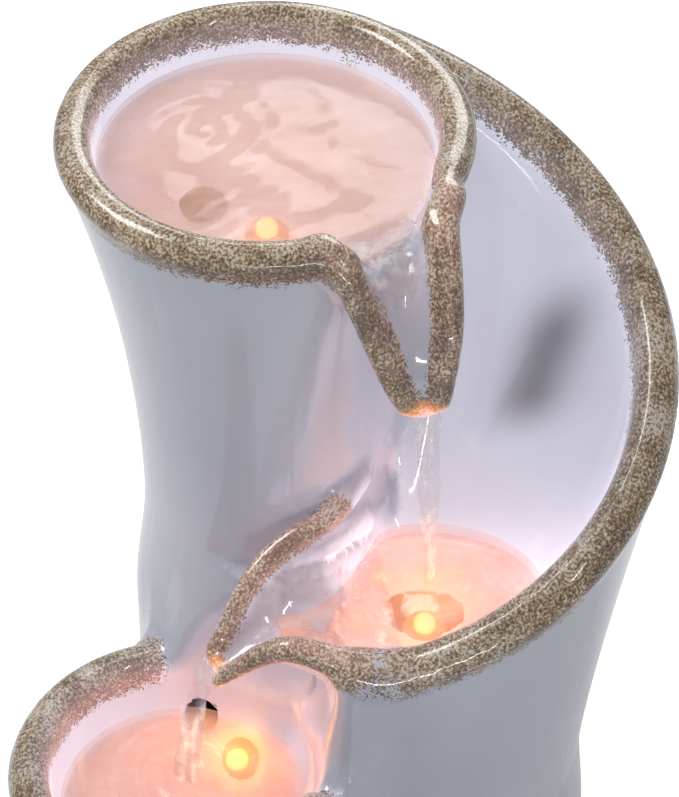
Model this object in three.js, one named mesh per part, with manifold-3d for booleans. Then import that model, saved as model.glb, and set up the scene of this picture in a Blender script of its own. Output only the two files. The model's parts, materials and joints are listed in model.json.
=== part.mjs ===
// Tabletop cascade fountain: a glazed ceramic body with three basins that step round a column, and the pump,
// hose, lights and covers that it holds. Millimetres, +Z up, origin at the middle of the foot on the table.
import * as THREE from 'three';
import Module from 'manifold-3d';

const wasm = await Module();
wasm.setup();

// ---- driving dimensions -------------------------------------------------------------------------------
const gap = 0.3; // between pieces that touch
const wall = 6; // ceramic thickness
const padTop = 2; // foam pad under the foot
const footTop = 62; // joint between foot casting and body
const bodyTop = 150; // joint between body and cascade wall
const columnTop = 231; // joint between column and upper bowl
const rimTop = 285; // highest rim

const upperBowl = { x: -14, y: 53.5, outer: 63.5, rim: 5.5, floor: 239, floorRadius: 36 };
const hull = { x: 26, y: 27, rimCentre: 80, rim: 6.5 }; // cascade wall and the body under it
const cascadeRim = { low: 163.5, high: 280.5, start: -92, end: 95, bend: 1.12 }; // top of the rim, headings in degrees
const waist = { x: 17, y: 30, radius: 73.5, z: 45, flare: 2.5 }; // where the body is narrowest
const pool = { x: 35, y: -16, rx: 35, ry: 25.5, edge: bodyTop, floor: 136, floorShare: 0.55 };
const lower = { x: -42, y: -53, outer: 52, rim: 6, inner: 40, top: 119.5, floor: 76 };
const column = { x: -15, rx: 40, front: -11, back: 96, belly: 6, flareFrom: 140 };
const window = { z: 118, width: 56, height: 34, corner: 8, depth: 40 }; // rear service opening
const pump = { x: 30, y: 40, length: 46, width: 36, height: 30 };

const turn = 2 * Math.PI;
const degrees = Math.PI / 180;
const lerp = THREE.MathUtils.lerp;
const smooth = THREE.MathUtils.smoothstep;

// ---- colours ------------------------------------------------------------------------------------------
const finishes = {
  glaze: { color: 0xcfd3dc, roughness: 0.15, metalness: 0 },
  foam: { color: 0x2a2a2c, roughness: 0.9, metalness: 0 },
  blackPlastic: { color: 0x1b1c1f, roughness: 0.45, metalness: 0 },
  greyPlastic: { color: 0x4a4d52, roughness: 0.5, metalness: 0 },
  rubber: { color: 0x222224, roughness: 0.85, metalness: 0 },
  silicone: { color: 0xc9d4d8, roughness: 0.4, metalness: 0 },
  steel: { color: 0xb8bcc2, roughness: 0.3, metalness: 1 },
  magnet: { color: 0x5b5148, roughness: 0.6, metalness: 0.2 },
  amberLens: { color: 0xffb347, roughness: 0.1, metalness: 0 },
};

const fountain = new THREE.Group();

function addMesh(name, geometry, finish) {
  const mesh = new THREE.Mesh(geometry, new THREE.MeshStandardMaterial(finishes[finish]));
  mesh.name = name;
  fountain.add(mesh);
  return mesh;
}

// ---- closed meshes from grids of points ---------------------------------------------------------------
// A builder that shares equal points, drops empty triangles and turns the faces outwards.
function closedGeometry(triangles) {
  const lookup = new Map();
  const positions = [];
  const indices = [];
  const indexOf = (p) => {
    const key = p.map((v) => Math.round(v * 1e4)).join();
    if (!lookup.has(key)) {
      lookup.set(key, positions.length / 3);
      positions.push(...p);
    }
    return lookup.get(key);
  };
  for (const triangle of triangles) {
    const [a, b, c] = triangle.map(indexOf);
    if (a !== b && b !== c && c !== a) indices.push(a, b, c);
  }
  let volume = 0;
  const at = (i) => new THREE.Vector3(...positions.slice(3 * i, 3 * i + 3));
  for (let i = 0; i < indices.length; i += 3) {
    volume += at(indices[i]).dot(at(indices[i + 1]).cross(at(indices[i + 2])));
  }
  if (volume < 0) indices.reverse();
  const geometry = new THREE.BufferGeometry();
  geometry.setAttribute('position', new THREE.Float32BufferAttribute(positions, 3));
  geometry.setIndex(indices);
  return geometry;
}

function quads(rows, closedRows, closedColumns) {
  const triangles = [];
  const rowCount = closedRows ? rows.length : rows.length - 1;
  const columnCount = closedColumns ? rows[0].length : rows[0].length - 1;
  for (let i = 0; i < rowCount; i++) {
    const here = rows[i];
    const next = rows[(i + 1) % rows.length];
    for (let j = 0; j < columnCount; j++) {
      const k = (j + 1) % here.length;
      triangles.push([here[j], here[k], next[k]], [here[j], next[k], next[j]]);
    }
  }
  return triangles;
}

// Profile at each angle, either a closed loop (a ring) or a line from axis to axis (a bowl).
function turned(steps, profileAt, closedProfile) {
  const rows = [];
  for (let i = 0; i < steps; i++) rows.push(profileAt((i / steps) * turn));
  return closedGeometry(quads(rows, true, closedProfile));
}

// A wall between an outside and an inside line with equal counts, swept through open rows.
function walled(outsideRows, insideRows) {
  const loops = outsideRows.map((row, i) => [...row, ...insideRows[i].slice().reverse()]);
  const triangles = quads(loops, false, true);
  for (const [loop, flip] of [[loops[0], false], [loops[loops.length - 1], true]]) {
    const last = loop.length - 1;
    for (let j = 0; j < loop.length / 2 - 1; j++) {
      const [a, b, c, d] = [loop[j], loop[j + 1], loop[last - j - 1], loop[last - j]];
      const pair = [[a, c, b], [a, d, c]];
      triangles.push(...pair.map((t) => (flip ? [t[0], t[2], t[1]] : t)));
    }
  }
  return closedGeometry(triangles);
}

// ---- joins and cuts -----------------------------------------------------------------------------------
function solid(source) {
  const geometry = source.clone();
  if (source.index) {
    geometry.deleteAttribute('normal');
    geometry.deleteAttribute('uv');
  }
  const flat = geometry.index ? geometry.toNonIndexed() : geometry;
  const p = flat.attributes.position;
  const triangles = [];
  for (let i = 0; i < p.count; i += 3) {
    triangles.push([0, 1, 2].map((k) => [p.getX(i + k), p.getY(i + k), p.getZ(i + k)]));
  }
  const shared = closedGeometry(triangles);
  return new wasm.Manifold(new wasm.Mesh({
    numProp: 3,
    vertProperties: new Float32Array(shared.attributes.position.array),
    triVerts: new Uint32Array(shared.index.array),
  }));
}

function geometryOf(manifold) {
  const mesh = manifold.getMesh();
  const geometry = new THREE.BufferGeometry();
  geometry.setAttribute('position', new THREE.Float32BufferAttribute(mesh.vertProperties, 3));
  geometry.setIndex([...mesh.triVerts]);
  return geometry;
}

const cut = (manifold, ...tools) => tools.reduce((rest, tool) => rest.subtract(tool), manifold);

// A cylinder from one point towards another.
function rod(radius, from, to, sides = 16, farRadius = radius) {
  const start = new THREE.Vector3(...from);
  const end = new THREE.Vector3(...to);
  const along = end.clone().sub(start);
  const geometry = new THREE.CylinderGeometry(farRadius, radius, along.length(), sides);
  geometry.applyQuaternion(new THREE.Quaternion().setFromUnitVectors(
    new THREE.Vector3(0, 1, 0), along.clone().normalize()));
  const middle = start.lerp(end, 0.5);
  return geometry.translate(middle.x, middle.y, middle.z);
}

function roundedBlock(length, width, height, corner) {
  const [a, b] = [length / 2, width / 2];
  const shape = new THREE.Shape();
  shape.moveTo(-a + corner, -b);
  shape.lineTo(a - corner, -b);
  shape.absarc(a - corner, -b + corner, corner, -Math.PI / 2, 0);
  shape.absarc(a - corner, b - corner, corner, 0, Math.PI / 2);
  shape.absarc(-a + corner, b - corner, corner, Math.PI / 2, Math.PI);
  shape.absarc(-a + corner, -b + corner, corner, Math.PI, 1.5 * Math.PI);
  return new THREE.ExtrudeGeometry(shape, { depth: height, bevelEnabled: false, curveSegments: 4 });
}

function hoseAlong(points, radius, bore, steps, sides = 10) {
  const curve = new THREE.CatmullRomCurve3(points.map((p) => new THREE.Vector3(...p)));
  const section = new THREE.Shape().absarc(0, 0, radius, 0, turn);
  if (bore > 0) section.holes.push(new THREE.Path().absarc(0, 0, bore, 0, turn, true));
  return new THREE.ExtrudeGeometry(section, { steps, extrudePath: curve, curveSegments: sides });
}

// ---- outlines of the ceramic body ---------------------------------------------------------------------
// Column: an oval that widens towards the top, and whose back leans out to carry the upper bowl.
function columnOval(z) {
  const rise = THREE.MathUtils.clamp((z - column.flareFrom) / (282 - column.flareFrom), 0, 1);
  const rx = lerp(column.rx, upperBowl.outer, Math.pow(rise, 1.9));
  const front = lerp(column.front, upperBowl.y - upperBowl.outer, rise) + column.belly * Math.sin(Math.PI * rise);
  const back = lerp(column.back, upperBowl.y + upperBowl.outer, smooth(z, 82, 282));
  return { x: lerp(column.x, upperBowl.x, rise), y: (front + back) / 2, rx, ry: (back - front) / 2 };
}

// Height of the cascade wall's rim: it leaves the upper rim at the back right and winds down to the front.
function rimHeight(heading) {
  const share = (heading / degrees - cascadeRim.start) / (cascadeRim.end - cascadeRim.start);
  return lerp(cascadeRim.low, cascadeRim.high, Math.pow(THREE.MathUtils.clamp(share, 0, 1), cascadeRim.bend));
}

// Body under the cascade wall: a round that leans out from the waist to the rim above it, and draws in towards
// the column on the left.
function hullRound(z, heading) {
  const top = rimHeight(heading) - hull.rim;
  const left = Math.max(smooth(heading / degrees, 112, 150), smooth(-heading / degrees, 105, 140));
  const rise = Math.pow(THREE.MathUtils.clamp((z - waist.z) / (top - waist.z), 0, 1), 1.25) * (1 - left);
  const wide = lerp(waist.radius, hull.rimCentre + hull.rim, rise);
  const narrow = waist.radius - 24 * smooth(z, 108, 180);
  const radius = lerp(wide, narrow, left) + waist.flare * (1 - smooth(z, 2, waist.z));
  return { x: lerp(waist.x, hull.x, rise), y: lerp(waist.y, hull.y, rise), rx: radius, ry: radius };
}

// Distance from a point to an oval's far side along a heading, or 0 where the ray misses it.
function rayToOval(origin, heading, oval, nearSide = false) {
  const ox = (origin.x - oval.x) / oval.rx;
  const oy = (origin.y - oval.y) / oval.ry;
  const dx = Math.cos(heading) / oval.rx;
  const dy = Math.sin(heading) / oval.ry;
  const [a, b, c] = [dx * dx + dy * dy, ox * dx + oy * dy, ox * ox + oy * oy - 1];
  const root = b * b - a * c;
  if (root < 0) return 0;
  return (-b + (nearSide ? -1 : 1) * Math.sqrt(root)) / a;
}

// The same to the body's round, which depends on the heading seen from its own middle.
function rayToHull(origin, heading, z) {
  let reach = 0;
  let seen = Math.atan2(Math.sin(heading), Math.cos(heading));
  for (let pass = 0; pass < 4; pass++) {
    reach = rayToOval(origin, heading, hullRound(z, seen));
    seen = Math.atan2(origin.y + reach * Math.sin(heading) - hull.y, origin.x + reach * Math.cos(heading) - hull.x);
  }
  return reach;
}

const softMax = (a, b, k) => {
  const h = Math.max(k - Math.abs(a - b), 0) / k;
  return Math.max(a, b) + (h * h * k) / 4;
};

const bodyAxis = { x: 10, y: 22 };
const footAxis = { x: 4, y: 0 };

// Outside of the body casting, with the pocket that the lower basin opens into its front left.
function bodyRadius(heading, z) {
  const around = softMax(rayToOval(bodyAxis, heading, columnOval(z)),
    rayToHull(bodyAxis, heading, z), lerp(14, 1, smooth(z, 84, bodyTop)));
  const pocketSize = lerp(lower.inner - 2, lower.inner + 1, smooth(z, 90, 150));
  const pocket = { x: lower.x, y: lower.y, rx: pocketSize, ry: pocketSize };
  const near = rayToOval(bodyAxis, heading, pocket, true);
  return near > 0 ? Math.min(around, near) : around;
}

function footRadius(heading, z) {
  const size = lower.outer - 4 + 2.5 * smooth(z, 20, footTop);
  const basin = { x: lower.x, y: lower.y, rx: size, ry: size };
  const body = softMax(rayToOval(footAxis, heading, columnOval(z)),
    rayToHull(footAxis, heading, z), 14);
  return softMax(body, rayToOval(footAxis, heading, basin), 20);
}

function polar(axis, heading, radius, z) {
  return [axis.x + radius * Math.cos(heading), axis.y + radius * Math.sin(heading), z];
}

// A tube whose outside follows a radius function, from one height to another.
function tubeWall(axis, radiusAt, heights, thickness, steps) {
  return turned(steps, (heading) => {
    const outside = heights.map((z) => polar(axis, heading, radiusAt(heading, z), z));
    const inside = heights.map((z) => polar(axis, heading, radiusAt(heading, z) - thickness, z));
    return [...outside, ...inside.reverse()];
  }, true);
}

// The same outline filled, grown by a clearance, to cut neighbours with.
function filled(axis, radiusAt, heights, clearance, steps) {
  return turned(steps, (heading) => [
    [axis.x, axis.y, heights[0]],
    ...heights.map((z) => polar(axis, heading, radiusAt(heading, z) + clearance, z)),
    [axis.x, axis.y, heights[heights.length - 1]],
  ], false);
}

const ovalRadius = (axisOf) => (heading, z) => rayToOval(axisOf, heading, columnOval(z));
const columnAxis = { x: column.x, y: 40 };
const columnRadius = ovalRadius(columnAxis);

// ---- foot, body and column ----------------------------------------------------------------------------
const footSteps = 44;
const footBottom = padTop + gap;
const footInside = footBottom + wall;

const footBody = turned(footSteps, (heading) => {
  const r = (z) => footRadius(heading, z);
  const at = (radius, z) => polar(footAxis, heading, radius, z);
  return [
    [footAxis.x, footAxis.y, footBottom],
    at(r(2) - 2.5, footBottom), at(r(2), footBottom + 2.5), at(r(22), 22), at(r(42), 42), at(r(footTop), footTop),
    at(r(footTop) - wall, footTop), at(r(30) - wall, 30), at(r(8) - wall - 3, footInside),
    [footAxis.x, footAxis.y, footInside],
  ];
}, false);
addMesh('foot_casting', footBody, 'glaze');

addMesh('foot_pad', turned(48, (heading) => [
  [footAxis.x, footAxis.y, 0],
  polar(footAxis, heading, footRadius(heading, 2) - 7, 0),
  polar(footAxis, heading, footRadius(heading, 2) - 7, padTop),
  [footAxis.x, footAxis.y, padTop],
], false), 'foam');

const bodyHeights = [footTop + gap, 84, 106, 128, bodyTop];
const bodySteps = 48;
let bodySolid = solid(tubeWall(bodyAxis, bodyRadius, bodyHeights, wall, bodySteps));

// Return hole from the lower basin, and the service window at the back.
const holeHeading = 81 * degrees;
const holeHeight = 97;
const holeDrill = solid(rod(5.5, polar(lower, holeHeading, 22, holeHeight), polar(lower, holeHeading, 56, holeHeight)));
const windowY = hull.y + 60;
const windowBlock = (grow, y0, depth) => {
  const geometry = roundedBlock(window.width + 2 * grow, window.height + 2 * grow, depth, window.corner + grow);
  geometry.rotateX(Math.PI / 2);
  return geometry.translate(hull.x, y0 + depth, window.z);
};
const glandHeading = 35 * degrees;
const glandHeight = 112;
const glandRound = hullRound(glandHeight, glandHeading);
const glandAt = (radius) => polar(glandRound, glandHeading, radius, glandHeight);
bodySolid = cut(bodySolid, holeDrill, solid(windowBlock(0, windowY - 20, window.depth)),
  solid(rod(4.2, glandAt(glandRound.rx - 20), glandAt(glandRound.rx + 20))));
const bodyEnvelope = solid(filled(bodyAxis, bodyRadius, [...bodyHeights, bodyTop + 20], gap, bodySteps));

const columnSteps = 36;
const columnHeights = [bodyTop + gap, 165, 180, 195, 213, columnTop];
const columnSolid = solid(tubeWall(columnAxis, columnRadius, columnHeights, wall, columnSteps));
const columnOnly = solid(filled(columnAxis, columnRadius, columnHeights, gap, columnSteps));
const columnEnvelope = solid(filled(columnAxis, columnRadius, [130, ...columnHeights, 250, 290], gap, columnSteps));

// ---- lower basin --------------------------------------------------------------------------------------
const basinBottom = footTop + gap;
const lowerBasin = turned(36, (heading) => {
  const at = (radius, z) => polar(lower, heading, radius, z);
  const tube = lower.outer - lower.rim;
  const rimZ = lower.top - lower.rim;
  return [
    at(0, lower.floor),
    at(14, lower.floor), at(27, 83), at(34, 93), at(37, 102), at(tube - lower.rim, rimZ),
    at(tube - 4.2, rimZ + 4.2), at(tube, lower.top), at(tube + 4.2, rimZ + 4.2),
    at(lower.outer, rimZ), at(lower.outer - 0.8, 88), at(lower.outer - 1.5, basinBottom),
    at(lower.outer - 1.5 - wall, basinBottom), at(33, 75), at(18, 69.5), at(0, 69),
  ];
}, false);
const lowerEnvelopeCut = cut(solid(lowerBasin), bodyEnvelope);

// ---- cascade wall and middle basin --------------------------------------------------------------------
function poolPoint(heading, z) {
  const turnShare = heading + 16 * degrees * Math.cos(heading);
  return [pool.x + pool.rx * Math.cos(turnShare), pool.y + pool.ry * Math.sin(turnShare), z];
}

const cascadeStart = -112 * degrees;
const cascadeEnd = 124 * degrees;
const cascadeSteps = 36;
const outsideRows = [];
const insideRows = [];
for (let i = 0; i <= cascadeSteps; i++) {
  const heading = lerp(cascadeStart, cascadeEnd, i / cascadeSteps);
  const top = rimHeight(heading);
  const low = bodyTop + gap;
  const at = (radius, z) => polar(hull, heading, radius, z);
  const skin = (z, depth) => {
    const round = hullRound(z, heading);
    return [
      round.x + (round.rx - depth) * Math.cos(heading), round.y + (round.ry - depth) * Math.sin(heading), z];
  };
  const r = hull.rimCentre;
  const half = lerp(low, top - 9, 0.5);
  const lip = at(r - hull.rim, top - 6.5);
  const edge = poolPoint(heading, pool.edge + gap);
  const run = Math.hypot(lip[0] - edge[0], lip[1] - edge[1]);
  const drop = lip[2] - edge[2];
  const length = Math.hypot(run, drop);
  const outward = [(lip[0] - edge[0]) / run, (lip[1] - edge[1]) / run];
  const sagged = (share, depth) => {
    const sag = 0.12 * run * Math.sin(Math.PI * share) + depth;
    return [
      lerp(edge[0], lip[0], share) + (outward[0] * sag * drop) / length,
      lerp(edge[1], lip[1], share) + (outward[1] * sag * drop) / length,
      Math.max(low + 2 * share, lerp(edge[2], lip[2], share) - (sag * run) / length),
    ];
  };
  const thin = 4.5;
  outsideRows.push([
    skin(low, 0), skin(half, 0), at(r + 6.5, top - 6.5), at(r + 4.6, top - 1.9), at(r, top),
    at(r - 4.6, top - 1.9), lip, sagged(0.66, 0), sagged(0.33, 0), edge,
  ]);
  insideRows.push([
    skin(low, wall), skin(half, wall), at(r + 2.2, top - 9), at(r + 1.1, top - 8.2), at(r, top - 8),
    at(r - 1.1, top - 8.2), at(r - 2.2, top - 9), sagged(0.66, thin), sagged(0.33, thin),
    [edge[0] + outward[0] * thin, edge[1] + outward[1] * thin, edge[2]],
  ]);
}
const cascadeSolid = solid(walled(outsideRows, insideRows));

const poolBowl = turned(28, (angle) => {
  const heading = angle - Math.PI;
  const at = (share, grow, z) => {
    const [x, y] = poolPoint(heading, z);
    const [dx, dy] = [x - pool.x, y - pool.y];
    const size = Math.hypot(dx, dy);
    const reach = (share * size + grow) / size;
    return [pool.x + dx * reach, pool.y + dy * reach, z];
  };
  return [
    [pool.x, pool.y, pool.floor],
    at(pool.floorShare, 0, pool.floor), at(0.9, 0, 142), at(1, 0, pool.edge),
    at(1, 4.5, pool.edge), at(0.92, 4.5, 138), at(pool.floorShare, 4, 130.5), [pool.x, pool.y, 130.5],
  ];
}, false);
const bodyInside = solid(filled(bodyAxis, (heading, z) => bodyRadius(heading, z) - wall - 2 * gap,
  [...bodyHeights, bodyTop + 2], 0, bodySteps));
const poolSolid = solid(poolBowl).intersect(bodyInside);

// ---- upper bowl ---------------------------------------------------------------------------------------
const upperSkin = (heading, z) => rayToOval(upperBowl, heading, columnOval(Math.min(z, 282)));
const upperSolid = solid(turned(40, (heading) => {
  const tube = upperBowl.outer - upperBowl.rim;
  const rimZ = rimTop - upperBowl.rim;
  const at = (radius, z) => polar(upperBowl, heading, radius, z);
  const skin = (z, depth) => at(upperSkin(heading, z) - depth, z);
  return [
    at(0, upperBowl.floor),
    at(upperBowl.floorRadius - 8, upperBowl.floor), at(42, 246), at(47, 258), at(tube - 5.5, rimZ),
    at(tube - 3.9, rimZ + 3.9), at(tube, rimTop), at(tube + 3.9, rimZ + 3.9), at(tube + 5.5, rimZ),
    skin(262, 0), skin(246, 0), skin(columnTop + gap, 0), skin(columnTop + gap, wall),
    at(34, 235), at(0, 232.5),
  ];
}, false));
const upperEnvelope = solid(filled(upperBowl, upperSkin,
  [columnTop - 4, columnTop + gap, 246, 262, rimTop - upperBowl.rim, 290], 0.8, 40));

// ---- spouts -------------------------------------------------------------------------------------------
// Convex sections along a curve, closed at both ends.
function lofted(sections) {
  const middle = (loop) => [0, 1, 2].map((k) => loop.reduce((sum, p) => sum + p[k], 0) / loop.length);
  const ends = [sections[0], sections[sections.length - 1]].map((loop) => loop.map(() => middle(loop)));
  return closedGeometry(quads([ends[0], ...sections, ends[1]], false, true));
}

// Half widths of the channel and of the outside, lip height above the channel floor, and depth below it,
// each from root to tip.
function spoutSolids(shape) {
  const path = new THREE.QuadraticBezierCurve3(...[shape.root, shape.bend, shape.tip].map((p) =>
    new THREE.Vector3(...p)));
  const sweep = (from, to, section) => {
    const loops = [];
    for (let i = 0; i <= 6; i++) {
      const t = lerp(from, to, i / 6);
      const inside = THREE.MathUtils.clamp(t, 0, 1);
      const p = path.getPoint(inside);
      const along = path.getTangent(inside).setZ(0).normalize();
      const size = (pair) => lerp(pair[0], pair[1], inside);
      const beyond = (t - inside) * 30;
      loops.push(section(size).map(([offset, lift]) => [
        p.x + along.x * beyond + along.y * offset, p.y + along.y * beyond - along.x * offset, p.z + lift]));
    }
    return solid(lofted(loops));
  };
  const outsideLoop = (size, grow, top) => {
    const [o, b, l] = [size(shape.outside) + grow, size(shape.base) + grow, size(shape.lip) + top];
    return [[-o, l - 2], [-o + 2, l], [o - 2, l], [o, l - 2], [o, 0], [0.6 * o, -b], [-0.6 * o, -b], [-o, 0]];
  };
  const body = sweep(0, 1, (size) => outsideLoop(size, 0, 0));
  const channel = sweep(-0.3, 1.3, (size) => {
    const [c, l] = [size(shape.channel), size(shape.lip) + 20];
    return [[-c, l], [c, l], [c, 2.5], [0.55 * c, 0], [-0.55 * c, 0], [-c, 2.5]];
  });
  const envelope = sweep(0, 1.1, (size) => outsideLoop(size, gap, 30));
  return { body: body.subtract(channel), envelope };
}

const upperSpout = spoutSolids({
  root: [17, 13, 268], bend: [28, -2, 262], tip: [33, -12, 229],
  channel: [10, 3.2], outside: [16, 6.5], lip: [9, 3.5], base: [4, 3],
});
const middleSpout = spoutSolids({
  root: [11, -26, 152.5], bend: [-8, -29, 152], tip: [-30, -40, 143],
  channel: [15, 3.2], outside: [23, 7], lip: [13, 3.5], base: [4, 3],
});

// ---- lights -------------------------------------------------------------------------------------------
const led = { hole: 5.2, grommet: 4.9, bore: 3.9, body: 3.6, flange: 7 };
const lowerLightAxis = new THREE.Vector3(-0.82 * Math.cos(52 * degrees), -0.82 * Math.sin(52 * degrees), 0.57);
const lights = [
  { name: 'upper', at: [upperBowl.x, upperBowl.y, upperBowl.floor], axis: new THREE.Vector3(0, 0, 1), depth: 9 },
  { name: 'middle', at: [pool.x, pool.y, pool.floor], axis: new THREE.Vector3(0, 0, 1), depth: 8 },
  { name: 'lower', at: polar(lower, 52 * degrees, 31.5, 89.5), axis: lowerLightAxis, depth: 17 },
];

function lathed(points, sides = 14) {
  return new THREE.LatheGeometry(points.map(([r, y]) => new THREE.Vector2(r, y)), sides);
}

// Turns a shape drawn along +Y to stand along an axis at a point.
function seated(geometry, at, axis) {
  const turnTo = new THREE.Quaternion().setFromUnitVectors(new THREE.Vector3(0, 1, 0), axis.clone().normalize());
  return geometry.applyQuaternion(turnTo).translate(...at);
}

const along = ({ at, axis }, distance) => axis.clone().normalize().multiplyScalar(distance)
  .add(new THREE.Vector3(...at)).toArray();
const ledDrill = (light) => solid(rod(led.hole, along(light, -light.depth - 12), along(light, 8)));

for (const light of lights) {
  const lift = 1.2;
  const ring = [
    [led.bore, -light.depth], [led.grommet, -light.depth], [led.grommet, lift], [led.flange, lift],
    [led.flange - 0.6, lift + 1.5], [led.bore, lift + 1.5], [led.bore, -light.depth]];
  const capsule = [[0, -light.depth - 5], [led.body, -light.depth - 5], [led.body, lift + 1], [0, lift + 1]];
  const dome = [[0, lift + 1.3], [led.body, lift + 1.3]];
  for (let i = 0; i <= 3; i++) {
    const a = (i / 3) * 90 * degrees;
    dome.push([led.body * Math.cos(a), lift + 2.6 + led.body * Math.sin(a)]);
  }
  dome[dome.length - 1][0] = 0;
  addMesh(`${light.name}_light_grommet`, geometryOf(solid(seated(lathed(ring), light.at, light.axis))), 'rubber');
  addMesh(`${light.name}_light_body`, geometryOf(solid(seated(lathed(capsule), light.at, light.axis))), 'steel');
  addMesh(`${light.name}_light_lens`, geometryOf(solid(seated(lathed(dome), light.at, light.axis))), 'amberLens');
}

// ---- ceramic pieces -----------------------------------------------------------------------------------
const inlet = { x: -34, y: 66, radius: 6 };
const inletDrill = solid(rod(inlet.radius, [inlet.x, inlet.y, 220], [inlet.x, inlet.y, 262]));
const [upperDrill, middleDrill, lowerDrill] = lights.map(ledDrill);
const ceramics = {
  body_casting: cut(bodySolid, middleSpout.envelope, lowerDrill),
  column_casting: cut(columnSolid, upperSpout.envelope),
  lower_basin: cut(lowerEnvelopeCut, holeDrill, lowerDrill),
  cascade_wall: cut(cascadeSolid, columnEnvelope, upperEnvelope, middleSpout.envelope),
  middle_basin: cut(poolSolid, middleSpout.envelope, columnEnvelope, middleDrill),
  upper_bowl: cut(upperSolid, upperSpout.envelope, upperDrill, inletDrill),
  upper_spout: cut(upperSpout.body, columnOnly),
  middle_spout: cut(middleSpout.body, columnEnvelope),
};
for (const [name, piece] of Object.entries(ceramics)) addMesh(name, geometryOf(piece), 'glaze');

// ---- service cover and cord gland ---------------------------------------------------------------------
const coverSkin = solid(tubeWall(bodyAxis, bodyRadius, bodyHeights, wall - 1, bodySteps));
const coverPlug = solid(windowBlock(-0.4, windowY - 20, window.depth)).intersect(coverSkin);
const tabTop = 110.5;
const pullTab = roundedBlock(22, 5, 12, 2).rotateX(Math.PI / 2).translate(hull.x, tabTop, window.z);
addMesh('rear_cover', geometryOf(coverPlug.add(solid(pullTab))), 'rubber');

const glandAxis = new THREE.Vector3(Math.cos(glandHeading), Math.sin(glandHeading), 0);
const glandRing = [[2.6, -9], [3.9, -9], [3.9, 1], [6.5, 1], [6, 3], [4, 4.5], [2.6, 4.5], [2.6, -9]];
addMesh('cord_gland', geometryOf(solid(seated(lathed(glandRing), glandAt(glandRound.rx), glandAxis))), 'rubber');

// ---- pump ---------------------------------------------------------------------------------------------
const pumpFloor = footInside + gap;
const cupHeight = 6;
const pumpBottom = pumpFloor + cupHeight + gap;
const pumpMiddle = pumpBottom + pump.height / 2;
const pumpLeft = pump.x - pump.length / 2;
const onPumpAxis = (x) => [x, pump.y, pumpMiddle];
const chamber = { radius: 10, depth: 27 };

const housing = roundedBlock(pump.length, pump.width, pump.height, 5).translate(pump.x, pump.y, pumpBottom);
const coilPocket = new THREE.BoxGeometry(14, 28, 24).translate(pump.x + pump.length / 2 - 7 + 1, pump.y, pumpMiddle);
const coil = new THREE.BoxGeometry(12, 27.2, 23.2).translate(pump.x + pump.length / 2 - 6.5, pump.y, pumpMiddle);
addMesh('pump_housing', geometryOf(cut(solid(housing), solid(coilPocket),
  solid(rod(chamber.radius, onPumpAxis(pumpLeft - 1), onPumpAxis(pumpLeft + chamber.depth))))), 'blackPlastic');
addMesh('potted_coil', geometryOf(solid(coil)), 'greyPlastic');

const rotorStart = pumpLeft + 2;
let rotor = solid(rod(6.2, onPumpAxis(rotorStart + 4), onPumpAxis(pumpLeft + chamber.depth - 1.5)));
rotor = rotor.add(solid(rod(8.6, onPumpAxis(rotorStart + 5), onPumpAxis(rotorStart + 6.5))));
const vanes = 5;
for (let i = 0; i < vanes; i++) {
  const vane = new THREE.BoxGeometry(6, 7.4, 1.2).translate(rotorStart + 3.2, 4.9, 0);
  vane.rotateX((i / vanes) * turn).translate(0, pump.y, pumpMiddle);
  rotor = rotor.add(solid(vane));
}
addMesh('impeller', geometryOf(rotor.subtract(solid(rod(1.3, onPumpAxis(pumpLeft), onPumpAxis(pumpLeft + 30))))),
  'magnet');
addMesh('impeller_shaft', geometryOf(solid(rod(1.22, onPumpAxis(pumpLeft + 0.6),
  onPumpAxis(pumpLeft + chamber.depth - 0.4)))), 'steel');

const voluteEnd = pumpLeft - gap;
const voluteStart = voluteEnd - 8;
const outletX = (voluteStart + voluteEnd) / 2;
const outletTop = pumpBottom + pump.height + 8;
const volute = new THREE.BoxGeometry(8, pump.width - 4, pump.height - 2).translate(outletX, pump.y, pumpMiddle);
addMesh('pump_volute', geometryOf(cut(
  solid(volute).add(solid(rod(3.1, [outletX, pump.y, pumpMiddle], [outletX, pump.y, outletTop], 16))),
  solid(rod(5, onPumpAxis(voluteStart - 1), onPumpAxis(voluteEnd + 1))),
  solid(rod(2, [outletX, pump.y, pumpMiddle], [outletX, pump.y, outletTop + 1], 12)))), 'blackPlastic');

const coverEnd = voluteStart - gap;
const coverStart = coverEnd - 9;
let intake = solid(new THREE.BoxGeometry(9, pump.width, pump.height)
  .translate((coverStart + coverEnd) / 2, pump.y, pumpMiddle));
intake = intake.subtract(solid(new THREE.BoxGeometry(8, pump.width - 4, pump.height - 4)
  .translate(coverEnd - 3, pump.y, pumpMiddle)));
for (const row of [-11, -6, 6, 11]) {
  intake = intake.subtract(solid(new THREE.BoxGeometry(6, 2.4, 20).translate(coverStart, pump.y + row, pumpMiddle)));
}
addMesh('intake_cover', geometryOf(intake.subtract(solid(rod(2, onPumpAxis(coverStart - 1), onPumpAxis(coverEnd))))),
  'blackPlastic');
const dial = solid(rod(3.4, onPumpAxis(coverStart - 2.6), onPumpAxis(coverStart - gap)))
  .add(solid(rod(1.95, onPumpAxis(coverStart - 2), onPumpAxis(coverStart + 5))))
  .add(solid(new THREE.BoxGeometry(2, 9, 2.4).translate(coverStart - 1.4, pump.y + 4, pumpMiddle)));
addMesh('flow_dial', geometryOf(dial), 'greyPlastic');

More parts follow.
